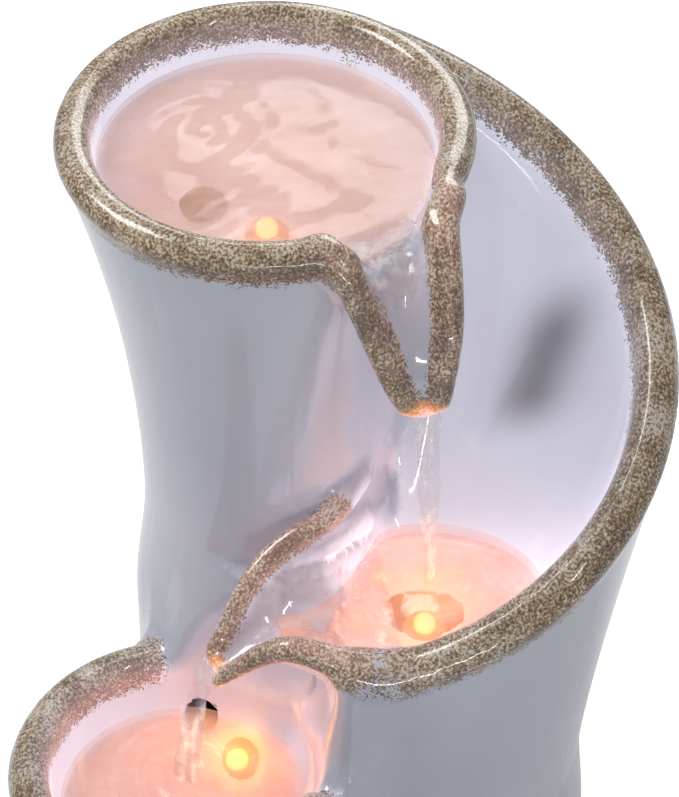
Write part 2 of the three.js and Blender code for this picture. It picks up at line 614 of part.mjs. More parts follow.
[[-1, -1], [1, -1], [1, 1], [-1, 1]].forEach(([sx, sy], i) => {
  const cup = [[0, 0], [6, 0], [5, 2], [3, 3], [2.6, cupHeight], [0, cupHeight]];
  const at = [pump.x + sx * 15, pump.y + sy * 10, pumpFloor];
  addMesh(`suction_cup_${i + 1}`, geometryOf(solid(seated(lathed(cup, 16), at, new THREE.Vector3(0, 1, 0)
    .set(0, 0, 1)))), 'rubber');
});

// ---- hose and leads -----------------------------------------------------------------------------------
const bushTop = upperBowl.floor + 2;
const bush = [[4.1, -16], [5.6, -16], [5.6, 1.4], [8, 1.4], [7.4, 3], [4.1, 3], [4.1, -16]];
addMesh('inlet_bush', geometryOf(solid(seated(lathed(bush), [inlet.x, inlet.y, upperBowl.floor + 1],
  new THREE.Vector3(0, 0, 1)))), 'rubber');
const hoseRoute = [
  [outletX, pump.y, pumpBottom + pump.height + 1], [outletX, pump.y, outletTop + 2], [-4, 44, 82], [-10, 50, 120],
  [-14, 56, 160], [-22, 61, 192], [inlet.x, inlet.y, 212], [inlet.x, inlet.y, bushTop + 1]];
addMesh('riser_hose', geometryOf(solid(hoseAlong(hoseRoute, 5.4, 3.9, 18, 4))
  .subtract(solid(rod(6.2, [inlet.x, inlet.y, 222], [inlet.x, inlet.y, 260])))
  .add(solid(rod(3.9, [inlet.x, inlet.y, 221], [inlet.x, inlet.y, bushTop], 16))
    .subtract(solid(rod(2.9, [inlet.x, inlet.y, 220], [inlet.x, inlet.y, bushTop + 1], 12))))), 'silicone');

const splitter = { x: 52, y: 44, z: 104 };
addMesh('lead_splitter', geometryOf(solid(roundedBlock(16, 12, 9, 3)
  .translate(splitter.x, splitter.y, splitter.z))), 'blackPlastic');
const leadRoutes = {
  upper: [along(lights[0], -lights[0].depth - 6), [-13, 52, 200], [4, 50, 150], [24, 47, 122],
    [splitter.x - 16, splitter.y - 3, splitter.z + 5], [splitter.x - 8.6, splitter.y - 3, splitter.z + 5]],
  middle: [along(lights[1], -lights[1].depth - 6), [36, -12, 114], [44, 14, 108],
    [splitter.x, splitter.y - 14, splitter.z + 5], [splitter.x, splitter.y - 6.6, splitter.z + 5]],
  lower: [along(lights[2], -lights[2].depth - 6), [-2, 4, 76], [20, 20, 96],
    [splitter.x - 16, splitter.y + 3, splitter.z + 5], [splitter.x - 8.6, splitter.y + 3, splitter.z + 5]],
};
for (const [name, route] of Object.entries(leadRoutes)) {
  addMesh(`${name}_light_lead`, geometryOf(solid(hoseAlong(route, 1.2, 0, 12, 2))), 'blackPlastic');
}

export default fountain;
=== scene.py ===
import json
import math
import bpy
import numpy as np
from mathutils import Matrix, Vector


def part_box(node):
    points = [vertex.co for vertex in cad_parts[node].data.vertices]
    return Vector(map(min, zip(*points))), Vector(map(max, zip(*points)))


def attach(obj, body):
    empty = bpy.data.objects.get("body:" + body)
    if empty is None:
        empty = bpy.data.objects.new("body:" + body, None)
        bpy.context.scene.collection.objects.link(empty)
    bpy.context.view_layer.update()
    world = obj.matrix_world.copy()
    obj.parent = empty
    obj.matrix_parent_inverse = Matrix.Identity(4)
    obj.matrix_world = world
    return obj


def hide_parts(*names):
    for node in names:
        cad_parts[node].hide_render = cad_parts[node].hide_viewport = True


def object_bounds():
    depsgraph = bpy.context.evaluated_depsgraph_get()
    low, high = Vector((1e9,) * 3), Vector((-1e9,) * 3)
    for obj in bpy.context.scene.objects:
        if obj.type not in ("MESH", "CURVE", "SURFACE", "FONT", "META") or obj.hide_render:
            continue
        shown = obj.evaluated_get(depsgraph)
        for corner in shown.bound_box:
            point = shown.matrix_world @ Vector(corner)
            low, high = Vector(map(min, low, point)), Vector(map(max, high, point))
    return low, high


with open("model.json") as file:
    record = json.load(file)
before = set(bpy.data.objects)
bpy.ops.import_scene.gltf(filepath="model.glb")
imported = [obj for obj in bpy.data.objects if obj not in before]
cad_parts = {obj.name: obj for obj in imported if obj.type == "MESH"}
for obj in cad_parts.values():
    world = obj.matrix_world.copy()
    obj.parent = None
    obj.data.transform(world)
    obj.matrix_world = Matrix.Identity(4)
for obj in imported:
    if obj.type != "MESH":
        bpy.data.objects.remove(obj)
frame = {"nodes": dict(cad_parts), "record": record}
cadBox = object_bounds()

mm = 0.001
deg = math.pi / 180
scene = bpy.context.scene


def say(stage):
    print("fountain:", stage)


def nodeBox(name):  # lowest and highest corner in mm
    low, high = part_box(name)
    return np.array(low) / mm, np.array(high) / mm


def nodeMiddle(name):
    low, high = nodeBox(name)
    return (low + high) / 2


# small numeric helpers for the clay shapes

def clamp01(t):
    return np.clip(t, 0.0, 1.0)


def ease(v, start, end):
    t = clamp01((v - start) / (end - start))
    return t * t * (3 - 2 * t)


def mix(a, b, t):
    return a + (b - a) * t


def softMin(a, b, k):
    h = np.maximum(k - np.abs(a - b), 0) / k
    return np.minimum(a, b) - h * h * k * 0.25


def softMax(a, b, k):
    return -softMin(-a, -b, k)


def throughPoints(points, count):  # smooth curve through a few given points, evenly spaced
    p = np.array(points, float)
    ends = np.vstack([2 * p[0] - p[1], p, 2 * p[-1] - p[-2]])
    out = []
    for i in range(1, len(ends) - 2):
        a, b, c, d = ends[i - 1:i + 3]
        for t in np.linspace(0, 1, 24, endpoint=False):
            out.append(0.5 * (2 * b + (c - a) * t + (2 * a - 5 * b + 4 * c - d) * t**2
                              + (3 * b - a - 3 * c + d) * t**3))
    out.append(p[-1])
    out = np.array(out)
    run = np.r_[0, np.cumsum(np.linalg.norm(np.diff(out, axis=0), axis=1))]
    at = np.linspace(0, run[-1], count)
    return np.stack([np.interp(at, run, out[:, k]) for k in range(out.shape[1])], 1)


# driving sizes of the ceramic body, in mm

bowl = {"x": -14.0, "y": 53.5, "tube": 58.0, "rim": 5.5, "top": 285.0, "floor": 239.0, "water": 271.0}
cascade = {"x": 26.0, "y": 27.0, "tube": 80.0, "rim": 6.5, "lowest": 157.0, "climb": 117.0,
           "startAngle": -92 * deg, "endAngle": 95 * deg, "bend": 1.12}
waist = {"x": 17.0, "y": 30.0, "radius": 73.5, "z": 45.0, "footFlare": 2.5}
pool = {"x": 35.0, "y": -16.0, "rx": 35.0, "ry": 25.5, "edge": 152.0, "floor": 137.0, "water": 155.0}
basin = {"x": -42.0, "y": -53.0, "tube": 46.0, "rim": 6.0, "top": 119.5, "floor": 76.0, "water": 100.0}
clay = {"wall": 6.0, "step": 2.0, "quickStep": 3.2, "footBottom": 2.3, "chamberTop": 224.0}
columnShape = {"x": -15.0, "radius": 40.0, "front": -11.0, "back": 96.0, "flareFrom": 140.0,
               "flareHeight": 141.0, "flarePower": 1.9, "frontSwell": 6.0, "backFrom": 82.0, "backTo": 282.0}
scoop = {"x": 34.0, "y": -6.0, "spread": 1.35, "floorPower": 2.4}
cavity = {"draft": 0.08, "bowlPower": 3.2, "basinPower": 1.8, "bulgeFrom": -30 * deg, "bulgeTo": 55 * deg,
          "bulge": 5.0}


def cascadeHeight(theta):  # height of the middle of the cascade rim
    t = clamp01((theta - cascade["startAngle"]) / (cascade["endAngle"] - cascade["startAngle"]))
    return cascade["lowest"] + cascade["climb"] * t ** cascade["bend"]


def columnDistance(x, y, z):
    shape = columnShape
    t = clamp01((z - shape["flareFrom"]) / shape["flareHeight"])
    halfWidth = mix(shape["radius"], bowl["tube"] + bowl["rim"], t**shape["flarePower"])
    front = shape["front"] + t + shape["frontSwell"] * np.sin(np.pi * t)
    lean = ease(z, shape["backFrom"], shape["backTo"])
    back = mix(shape["back"], bowl["y"] + bowl["tube"] + bowl["rim"], lean)
    middleX = mix(shape["x"], bowl["x"], t)
    dx = x - middleX
    dy = y - (front + back) / 2
    halfDepth = (back - front) / 2
    size = np.sqrt((dx / halfWidth)**2 + (dy / halfDepth)**2) + 1e-6
    slope = np.sqrt((dx / halfWidth**2)**2 + (dy / halfDepth**2)**2) + 1e-6
    return (size - 1) * size / slope


def hullDistance(x, y, z):  # round body under the cascade rim, which fades into the column on the left
    bearing = np.arctan2(y - cascade["y"], x - cascade["x"])
    height = cascadeHeight(np.where(bearing > 115 * deg, 95 * deg, bearing))
    left = np.maximum(ease(bearing, 112 * deg, 150 * deg), ease(-bearing, 105 * deg, 140 * deg))
    rise = clamp01((z - waist["z"]) / (height - waist["z"]))**1.25 * (1 - left)
    flare = waist["footFlare"] * (1 - ease(z, 2, 45))
    middleX = mix(waist["x"], cascade["x"], rise)
    middleY = mix(waist["y"], cascade["y"], rise)
    radius = mix(waist["radius"], cascade["tube"] + cascade["rim"], rise) + flare
    dx = x - middleX
    dy = y - middleY
    theta = np.arctan2(dy, dx)
    left = np.maximum(ease(theta, 112 * deg, 150 * deg), ease(-theta, 105 * deg, 140 * deg))
    leftRadius = waist["radius"] + flare - 24 * ease(z, 108, 180)
    radius = mix(radius, leftRadius, left)
    side = (np.hypot(dx, dy) - radius) * 0.97
    top = z - mix(height, 190.0, left)
    return softMax(side, top, 1.5)


def rayToOval(originX, originY, cosine, sine, ovalX, ovalY, rx, ry):
    ox = (originX - ovalX) / rx
    oy = (originY - ovalY) / ry
    dx = cosine / rx
    dy = sine / ry
    a = dx * dx + dy * dy
    b = ox * dx + oy * dy
    c = ox * ox + oy * oy - 1
    return (-b + np.sqrt(np.maximum(b * b - a * c, 0))) / a


def scoopDistance(x, y, z):  # the hollow inside the cascade wall, down to the middle basin's floor
    originX, originY = scoop["x"], scoop["y"]
    dx = x - originX
    dy = y - originY
    r = np.hypot(dx, dy) + 1e-6
    cosine, sine = dx / r, dy / r
    inner = cascade["tube"] - cascade["rim"]
    lip = rayToOval(originX, originY, cosine, sine, cascade["x"], cascade["y"], inner, inner)
    edge = rayToOval(originX, originY, cosine, sine, pool["x"], pool["y"], pool["rx"], pool["ry"])
    theta = np.arctan2(originY + lip * sine - cascade["y"], originX + lip * cosine - cascade["x"])
    height = cascadeHeight(theta)
    s = clamp01((z - pool["edge"]) / np.maximum(height - pool["edge"], 4.0))
    spread = 1 - (1 - s)**scoop["spread"]
    depth = clamp01((pool["edge"] - z) / (pool["edge"] - pool["floor"]))
    radius = mix(edge, lip, spread) * np.sqrt(np.maximum(1 - depth**scoop["floorPower"], 0.0))
    steepness = scoop["spread"] * (1 - s)**(scoop["spread"] - 1)
    slope = (lip - edge) * steepness / np.maximum(height - pool["edge"], 4.0)
    side = (r - radius) / np.sqrt(1 + np.where(s > 0, slope, 0)**2)
    return softMax(side, pool["floor"] - z, 3.0)


def bowlCavity(x, y, z):
    rimZ = bowl["top"] - bowl["rim"]
    depth = clamp01((rimZ - z) / (rimZ - bowl["floor"]))
    rounding = np.maximum(1 - depth**cavity["bowlPower"], 0)**(1 / 2.6)
    radius = (bowl["tube"] - bowl["rim"]) * (1 - cavity["draft"] * depth) * rounding
    side = np.hypot(x - bowl["x"], y - bowl["y"]) - radius
    return softMax(side, bowl["floor"] - z, 3.0)


def basinCavity(x, y, z):
    rimZ = basin["top"] - basin["rim"]
    depth = clamp01((rimZ - z) / (rimZ - basin["floor"]))
    theta = np.arctan2(y - basin["y"], x - basin["x"])
    bulge = ease(theta, cavity["bulgeFrom"], 0) * (1 - ease(theta, 30 * deg, cavity["bulgeTo"]))
    bulge = bulge * ease(z, 84, 108)
    rounding = np.maximum(1 - depth**cavity["basinPower"], 0)**(1 / 2.2)
    radius = (basin["tube"] - basin["rim"]) * rounding + 4 * ease(z, rimZ, 150)
    radius = radius + cavity["bulge"] * bulge
    side = np.hypot(x - basin["x"], y - basin["y"]) - radius
    return softMax(side, basin["floor"] - z, 3.0)


def tubeDistance(points, line, radii):
    best = np.full(len(points), 1e9)
    for a, b, ra, rb in zip(line[:-1], line[1:], radii[:-1], radii[1:]):
        along = b - a
        t = clamp01(((points - a) @ along) / (along @ along))
        gap = points - (a + t[:, None] * along)
        best = np.minimum(best, np.sqrt((gap * gap).sum(1)) - mix(ra, rb, t))
    return best


def arcLine(centre, radius, heightAt, start, end, count):
    angles = np.linspace(start, end, count)
    return np.stack([centre["x"] + radius * np.cos(angles), centre["y"] + radius * np.sin(angles),
                     heightAt(angles)], 1)


# the two pouring lips, each a left and a right edge curve from the rim to the tip; the first "plain" of the
# steps have no speckle

upperLip = {
    "left": [(4, -2, 279.5), (9.5, -5.5, 276.5), (14, -8, 267), (19.5, -10.2, 252), (24.5, -11.5, 238),
             (28.2, -12, 230)],
    "right": [(40.5, 23, 279.5), (38.8, 14, 278.6), (38.8, 8, 275.5), (39.8, 2, 268), (40.5, -5, 254.5),
              (39.6, -9, 244), (38, -11.8, 232)],
    "depth": [(0, 17), (0.3, 12.5), (0.6, 8.5), (1, 2.6)], "power": (2.6, 2.2), "plain": 0,
    "half": (3.4, 1.9), "leftRim": (5.0, 2.6), "rightRim": (4.8, 2.6),
}
middleLip = {
    "left": [(14, 9, 178), (9, -1, 177), (3.5, -7.8, 176.2), (-4, -11.5, 174.5), (-11.4, -15.5, 171),
             (-17.5, -21, 167), (-22.5, -27, 161.5), (-26.8, -32.5, 154), (-29.8, -35.5, 149)],
    "right": [(24, -53, 157.4), (16, -53, 158.6), (8.5, -52.5, 161.5), (-0.5, -51, 164), (-8, -49.5, 164),
              (-15.7, -47.5, 158.8), (-22.6, -45.6, 151.3), (-28, -43.8, 144.6)],
    "depth": [(0, 30), (0.2, 22), (0.5, 17.5), (0.8, 9), (1, 2.4)], "power": (6.0, 2.4), "plain": 7,
    "half": (2.6, 1.5), "leftRim": (2.6, 1.4), "rightRim": (6.2, 1.7),
}
lipSteps = {"along": 40, "across": 21, "reach": 11.0, "channelHeight": 24.0, "block": 4000}


def lipGrid(lip, along, across):  # trough surface between the two lips, and how deep it is
    left = throughPoints(lip["left"], along)
    right = throughPoints(lip["right"], along)
    t = np.linspace(0, 1, along)
    s = np.linspace(-1, 1, across)
    grid = mix(left[:, None], right[:, None], (s[None, :, None] + 1) / 2).copy()
    depth = np.interp(t, *np.array(lip["depth"]).T)
    power = mix(lip["power"][0], lip["power"][1], ease(t, 0, 0.6))
    grid[:, :, 2] -= depth[:, None] * (1 - np.abs(s[None])**power[:, None])
    return left, right, grid, depth, power


def lipSheet(lip):
    along, across = lipSteps["along"], lipSteps["across"]
    left, right, grid = lipGrid(lip, along, across)[:3]
    half = np.linspace(*lip["half"], along)[:, None].repeat(across, 1)
    share = np.abs(np.linspace(-1, 1, across))[None].repeat(along, 0)
    normal = np.cross(np.gradient(grid, axis=0), np.gradient(grid, axis=1))
    normal /= np.linalg.norm(normal, axis=2)[..., None]
    normal *= np.sign(normal[..., 2])[..., None]
    return left, right, grid.reshape(-1, 3), half.ravel(), share.ravel(), normal.reshape(-1, 3)


def nearestOf(points, cloud, flat):  # index of the nearest sample, seen from above or in space
    best = np.zeros(len(points), int)
    size = lipSteps["block"]
    for i in range(0, len(points), size):
        block = points[i:i + size]
        gap = ((block[:, None, :flat] - cloud[None, :, :flat])**2).sum(2)
        best[i:i + size] = gap.argmin(1)
    return best


def lipDistances(points, lip):  # distance to the trough's clay, to its lips, and to the channel above it
    left, right, sheet, half, share, normal = lipSheet(lip)
    leftRadii = np.linspace(*lip["leftRim"], len(left))
    rightRadii = np.linspace(*lip["rightRim"], len(right))
    trough = np.full(len(points), 1e9)
    channel = np.full(len(points), 1e9)
    low, high = sheet.min(0) - lipSteps["reach"], sheet.max(0) + lipSteps["reach"]
    high[2] += lipSteps["channelHeight"]
    near = np.all((points > low) & (points < high), axis=1)
    p = points[near]
    closest = nearestOf(p, sheet, 3)
    off = p - sheet[closest]
    lift = (off * normal[closest]).sum(1)
    aside = np.maximum(np.sqrt(np.maximum((off * off).sum(1) - lift**2, 0)) - 1.2, 0)
    slab = np.hypot(lift, aside) - half[closest]
    edges = np.minimum(tubeDistance(p, left, leftRadii), tubeDistance(p, right, rightRadii))
    trough[near] = softMin(slab, edges, 3.0)
    above = nearestOf(p, sheet, 2)
    off = p - sheet[above]
    aside = np.linalg.norm(off[:, :2], axis=1)
    channel[near] = np.maximum(half[above] - (off * normal[above]).sum(1),
                               np.maximum(aside - 1.0, (share[above] - 0.98) * 30))
    return trough, channel


def clayDistance(points):
    x, y, z = points.T
    hull = softMax(hullDistance(x, y, z), -scoopDistance(x, y, z), 3.0)
    lowerTube = basin["tube"] + basin["rim"] - 3.5 * (1 - ease(z, 0, 100))
    lowerSide = np.hypot(x - basin["x"], y - basin["y"]) - lowerTube
    lower = softMax(lowerSide, z - (basin["top"] - basin["rim"]), 1.0)
    body = softMin(hull, lower, 16.0)
    body = softMin(body, tubeDistance(points, rimLines["ridge"], np.array([5.5, 5.5])), 12.0)
    body = softMax(body, -basinCavity(x, y, z), 4.0)
    column = softMax(columnDistance(x, y, z), z - (bowl["top"] - bowl["rim"]), 1.0)
    body = softMin(body, column, 12.0)
    body = softMax(body, -bowlCavity(x, y, z), 1.0)
    body = softMin(body, np.hypot(np.hypot(x - bowl["x"], y - bowl["y"]) - bowl["tube"],
                                  z - (bowl["top"] - bowl["rim"])) - bowl["rim"], 1.0)
    body = softMin(body, tubeDistance(points, rimLines["cascade"], np.full(rimSteps, cascade["rim"])), 2.5)
    body = softMin(body, tubeDistance(points, rimLines["basin"], np.full(rimSteps, basin["rim"])), 2.0)
    upperTrough, upperChannel = lipDistances(points, upperLip)
    middleTrough, middleChannel = lipDistances(points, middleLip)
    body = softMax(body, -tubeDistance(points, mouth["line"], mouth["radii"]), 3.0)
    body = softMax(body, -upperChannel, 2.0)
    body = softMax(body, -middleChannel, 2.0)
    body = softMin(body, upperTrough, 4.0)
    body = softMin(body, middleTrough, 6.0)
    return np.maximum(body, clay["footBottom"] - z)


# openings through the wall: lamps, hose, return hole, cord gland and the rear service window

lamps = {
    "upper": {"tint": 0.45, "reach": 26.0, "haze": 1.0},
    "middle": {"tint": 1.0, "reach": 28.0, "haze": 1.25},
    "lower": {"tint": 0.9, "reach": 32.0, "haze": 0.35},
}
for lampName, lampSet in lamps.items():
    lampSet["lens"] = nodeMiddle(lampName + "_light_lens")
    lampSet["axis"] = lampSet["lens"] - nodeMiddle(lampName + "_light_body")
    lampSet["axis"] /= np.linalg.norm(lampSet["axis"])
holes = {
    "lamp": {"behind": 34.0, "ahead": 2.0, "radius": 5.2},
    "inlet": {"low": 215.0, "high": 262.0, "radius": 6.0},
    "gland": {"heading": 35 * deg, "half": 16.0, "radius": 4.4},
    "waterReturn": {"heading": 81 * deg, "z": 97.0, "near": 22.0, "far": 54.0, "radius": 5.5},
    "window": {"corner": 8.0, "gap": 0.4, "from": 72.0},
}


def flatWay(angle):  # level unit vector at an angle about Z
    return np.array([math.cos(angle), math.sin(angle), 0])


hole = holes["lamp"]
drills = [(lampSet["lens"] - hole["behind"] * lampSet["axis"],
           lampSet["lens"] + hole["ahead"] * lampSet["axis"], hole["radius"]) for lampSet in lamps.values()]
hole = holes["inlet"]
inlet = nodeMiddle("inlet_bush") * [1, 1, 0]
drills.append((inlet + [0, 0, hole["low"]], inlet + [0, 0, hole["high"]], hole["radius"]))
hole = holes["gland"]
glandWay = hole["half"] * flatWay(hole["heading"])
drills.append((nodeMiddle("cord_gland") - glandWay, nodeMiddle("cord_gland") + glandWay, hole["radius"]))
hole = holes["waterReturn"]
returnStart = np.array([basin["x"], basin["y"], hole["z"]])
drills.append((returnStart + hole["near"] * flatWay(hole["heading"]),
               returnStart + hole["far"] * flatWay(hole["heading"]), hole["radius"]))
coverLow, coverHigh = nodeBox("rear_cover")


def drillDistance(points, start, end, radius):
    along = end - start
    length = np.linalg.norm(along)
    along = along / length
    t = (points - start) @ along
    off = points - start - t[:, None] * along
    return np.maximum(np.sqrt((off * off).sum(1)) - radius, np.maximum(-t, t - length))


def windowDistance(points):
    window = holes["window"]
    half = (coverHigh - coverLow) / 2 + window["gap"] - window["corner"]
    middle = (coverLow + coverHigh) / 2
    dx = np.maximum(np.abs(points[:, 0] - middle[0]) - half[0], 0)
    dz = np.maximum(np.abs(points[:, 2] - middle[2]) - half[2], 0)
    return np.maximum(np.hypot(dx, dz) - window["corner"], window["from"] - points[:, 1])


def clayShell(points):  # the same clay, hollow inside, with its holes
    solid = clayDistance(points)
    x, y, z = points.T
    region = np.minimum(z - pool["floor"], np.maximum(columnDistance(x, y, z) + 10, z - clay["chamberTop"]))
    chamber = softMax(solid + clay["wall"], region, 3.0)
    shell = softMax(solid, -chamber, 1.0)
    for start, end, radius in drills:
        shell = np.maximum(shell, -drillDistance(points, start, end, radius))
    return np.maximum(shell, -windowDistance(points))


rimSteps = 90
rimLines = {
    "cascade": arcLine(cascade, cascade["tube"], cascadeHeight, 98 * deg, -97 * deg, rimSteps),
    "basin": arcLine(basin, basin["tube"], lambda a: np.full_like(a, basin["top"] - basin["rim"]),
                     103 * deg, 338 * deg, rimSteps),
    "ridge": np.array([(11.0, -54.0, 40.0), (14.5, -49.0, 152.0)]),
    "bowl": arcLine(bowl, bowl["tube"], lambda a: np.full_like(a, bowl["top"] - bowl["rim"]),
                    -28 * deg, 288 * deg, rimSteps),
}
mouth = {"line": np.array([(12.5, 10.0, 280.0), (26.0, 28.0, 280.0)]), "radii": np.array([13.0, 13.0])}


speckle = {"lipGap": 1.2, "lipFade": 1.6, "tipFade": 1.8, "under": 0.4}


def rimDistance(points):  # distance from the nearest rim's surface
    best = tubeDistance(points, rimLines["cascade"], np.full(rimSteps, cascade["rim"]))
    best = np.minimum(best, tubeDistance(points, rimLines["basin"], np.full(rimSteps, basin["rim"])))
    best = np.minimum(best, tubeDistance(points, rimLines["bowl"], np.full(rimSteps, bowl["rim"])))
    for lip in (upperLip, middleLip):
        for side in ("left", "right"):
            line = throughPoints(lip[side], lipSteps["along"])[lip["plain"]:]
            lipAway = tubeDistance(points, line, np.linspace(*lip[side + "Rim"], len(line)))
            past = lipAway - speckle["lipGap"]
            best = np.minimum(best, past * np.where(past > 0, speckle["lipFade"], 1.0))
        left, right = (np.array(lip[side][-1], float) for side in ("left", "right"))
        tipAway = tubeDistance(points, np.array([left, right]), np.array([1.8, 1.8]))
        best = np.minimum(best, speckle["tipFade"] * tipAway)
    return best - speckle["under"]


def surfaceNet(values, origin, step):  # closed quad mesh of the zero level
    inside = values < 0
    nx, ny, nz = values.shape
    corners = [(i, j, k) for i in (0, 1) for j in (0, 1) for k in (0, 1)]
    cell = lambda a, i, j, k: a[i:nx - 1 + i, j:ny - 1 + j, k:nz - 1 + k]
    count = sum(cell(inside, *c).astype(np.int8) for c in corners)
    active = (count > 0) & (count < 8)
    index = np.full(active.shape, -1, np.int64)
    index[active] = np.arange(active.sum())
    total = np.zeros((active.sum(), 3))
    weight = np.zeros(active.sum())
    for a in corners:
        for axis in range(3):
            if a[axis]:
                continue
            b = list(a)
            b[axis] = 1
            va = cell(values, *a)[active]
            vb = cell(values, *b)[active]
            crosses = (va < 0) != (vb < 0)
            t = np.where(crosses, va / np.where(crosses, va - vb, 1), 0)
            spot = np.array(a, float)[None].repeat(len(t), 0)
            spot[:, axis] += t
            total += spot * crosses[:, None]
            weight += crosses
    ijk = np.argwhere(active)
    verts = np.array(origin) + step * (ijk + total / weight[:, None])
    faces = []
    for axis in range(3):
        u, v = [(1, 2), (2, 0), (0, 1)][axis]
        here = [slice(1, -1)] * 3
        here[axis] = slice(0, -1)
        there = list(here)
        there[axis] = slice(1, None)
        a = inside[tuple(here)]
        b = inside[tuple(there)]
        flips = np.argwhere(a != b) + 1
        flips[:, axis] -= 1
        outward = a[a != b]
        ring = []
        for du, dv in ((0, 0), (-1, 0), (-1, -1), (0, -1)):
            c = flips.copy()
            c[:, u] += du
            c[:, v] += dv
            ring.append(index[c[:, 0], c[:, 1], c[:, 2]])
        quad = np.stack(ring, 1)
        quad[~outward] = quad[~outward][:, ::-1]
        faces.append(quad)
    return verts, np.concatenate(faces)


def clayGradient(points, value, reach=0.3):
    slope = np.zeros_like(points)
    for k in range(3):
        shift = np.zeros(3)
        shift[k] = reach
        slope[:, k] = (clayShell(points + shift) - value) / reach
    return slope


def sparseField(low, high, step, block=4):  # exact near the surface, only the sign elsewhere
    cells = [int(math.ceil((b - a) / (step * block))) for a, b in zip(low, high)]
    corners = [low[k] + step * block * np.arange(cells[k] + 1) for k in range(3)]
    grid = np.stack(np.meshgrid(*corners, indexing="ij"), -1)
    coarse = clayShell(grid.reshape(-1, 3)).reshape(grid.shape[:3])
    values = np.kron(np.sign(coarse[:-1, :-1, :-1]), np.ones((block,) * 3)) * 99.0
    values = np.pad(values, ((0, 1),) * 3, mode="edge")
    closest = np.full(cells, 1e9)
    for i in (0, 1):
        for j in (0, 1):
            for k in (0, 1):
                corner = coarse[i:cells[0] + i, j:cells[1] + j, k:cells[2] + k]
                closest = np.minimum(closest, np.abs(corner))
    near = np.kron(closest < step * block * 1.05, np.ones((block,) * 3)) > 0
    near = np.pad(near, ((0, 1),) * 3, mode="edge")
    where = np.argwhere(near)
    values[near] = clayShell(np.array(low) + step * where)
    return values


def buildClay():
    step = clay["step"]
    low = np.array(cadBox[0]) / mm - 2 * step
    high = np.array(cadBox[1]) / mm + 2 * step
    values = sparseField(low, high, step)
    say("clay field %s" % (values.shape,))
    verts, faces = surfaceNet(values, low, step)
    for reach in (0.6, 0.3):
        value = clayShell(verts)
        slope = clayGradient(verts, value)
        size = (slope**2).sum(1)
        move = -(value / np.maximum(size, 0.25))[:, None] * slope
        verts = verts + np.clip(move, -reach * step, reach * step)
    return verts, faces


def meshObject(name, verts, faces, attributes=None, smooth=True):
    mesh = bpy.data.meshes.new(name)
    mesh.from_pydata((np.asarray(verts) * mm).tolist(), [], [list(map(int, face)) for face in faces])
    mesh.polygons.foreach_set("use_smooth", [smooth] * len(mesh.polygons))
    for key, values in (attributes or {}).items():
        layer = mesh.attributes.new(key, "FLOAT", "POINT")
        layer.data.foreach_set("value", np.asarray(values, np.float32))
    mesh.validate()
    mesh.update()
    piece = bpy.data.objects.new(name, mesh)
    scene.collection.objects.link(piece)
    return piece


# shader helpers

def newMaterial(name, **sockets):
    material = bpy.data.materials.new(name)
    material.use_nodes = True
    shader = material.node_tree.nodes["Principled BSDF"]
    for key, value in sockets.items():
        shader.inputs[key.replace("_", " ")].default_value = value
    return material, material.node_tree, shader


def add(tree, kind, values=None, **settings):
    node = tree.nodes.new(kind)
    for key, value in settings.items():
        setattr(node, key, value)
    for key, value in (values or {}).items():
        if hasattr(value, "is_output"):
            tree.links.new(value, node.inputs[key])
        else:
            node.inputs[key].default_value = value
    return node


def math2(tree, operation, a, b=0.0, c=0.0):
    return add(tree, "ShaderNodeMath", {0: a, 1: b, 2: c}, operation=operation).outputs[0]


def rescale(tree, value, fromLow, fromHigh, toLow=0.0, toHigh=1.0):
    return add(tree, "ShaderNodeMapRange", {"Value": value, "From Min": fromLow, "From Max": fromHigh,
                                            "To Min": toLow, "To Max": toHigh}).outputs[0]


def ramp(tree, value, stops):
    node = add(tree, "ShaderNodeValToRGB", {0: value})
    elements = node.color_ramp.elements
    for i, (place, colour) in enumerate(stops):
        element = elements[i] if i < 2 else elements.new(place)
        element.position = place
        element.color = tuple(colour) + (1,) * (4 - len(colour))
    return node.outputs[0]


def blend(tree, share, a, b, mode="MIX"):
    node = add(tree, "ShaderNodeMix", data_type="RGBA", blend_type=mode)
    for socket, value in ((node.inputs[0], share), (node.inputs[6], a), (node.inputs[7], b)):
        if hasattr(value, "is_output"):
            tree.links.new(value, socket)
        else:
            plain = isinstance(value, float)
            socket.default_value = value if plain else tuple(value) + (1,) * (4 - len(value))
    return node.outputs[2]


def noise(tree, scale, detail=2.0, roughness=0.5, stretch=None):
    vector = add(tree, "ShaderNodeTexCoord").outputs["Object"]
    if stretch:
        vector = add(tree, "ShaderNodeMapping", {"Vector": vector, "Scale": stretch}).outputs[0]
    return add(tree, "ShaderNodeTexNoise", {"Vector": vector, "Scale": scale, "Detail": detail,
                                            "Roughness": roughness}).outputs[0]


def attribute(tree, name):
    return add(tree, "ShaderNodeAttribute", attribute_name=name).outputs["Fac"]


def effectGroup(name, outputs):
    group = bpy.data.node_groups.new(name, "ShaderNodeTree")
    for key, kind in outputs.items():
        group.interface.new_socket(key, in_out="OUTPUT", socket_type=kind)
    return group, add(group, "NodeGroupOutput")


def useGroup(tree, group, shader, links):
    node = add(tree, "ShaderNodeGroup", node_tree=group)
    for output, socket in links.items():
        tree.links.new(node.outputs[output], shader.inputs[socket])
    return node


def bumpOf(tree, shader, height, distance, strength=1.0):
    node = add(tree, "ShaderNodeBump", {"Strength": strength, "Distance": distance, "Height": height})
    tree.links.new(node.outputs[0], shader.inputs["Normal"])
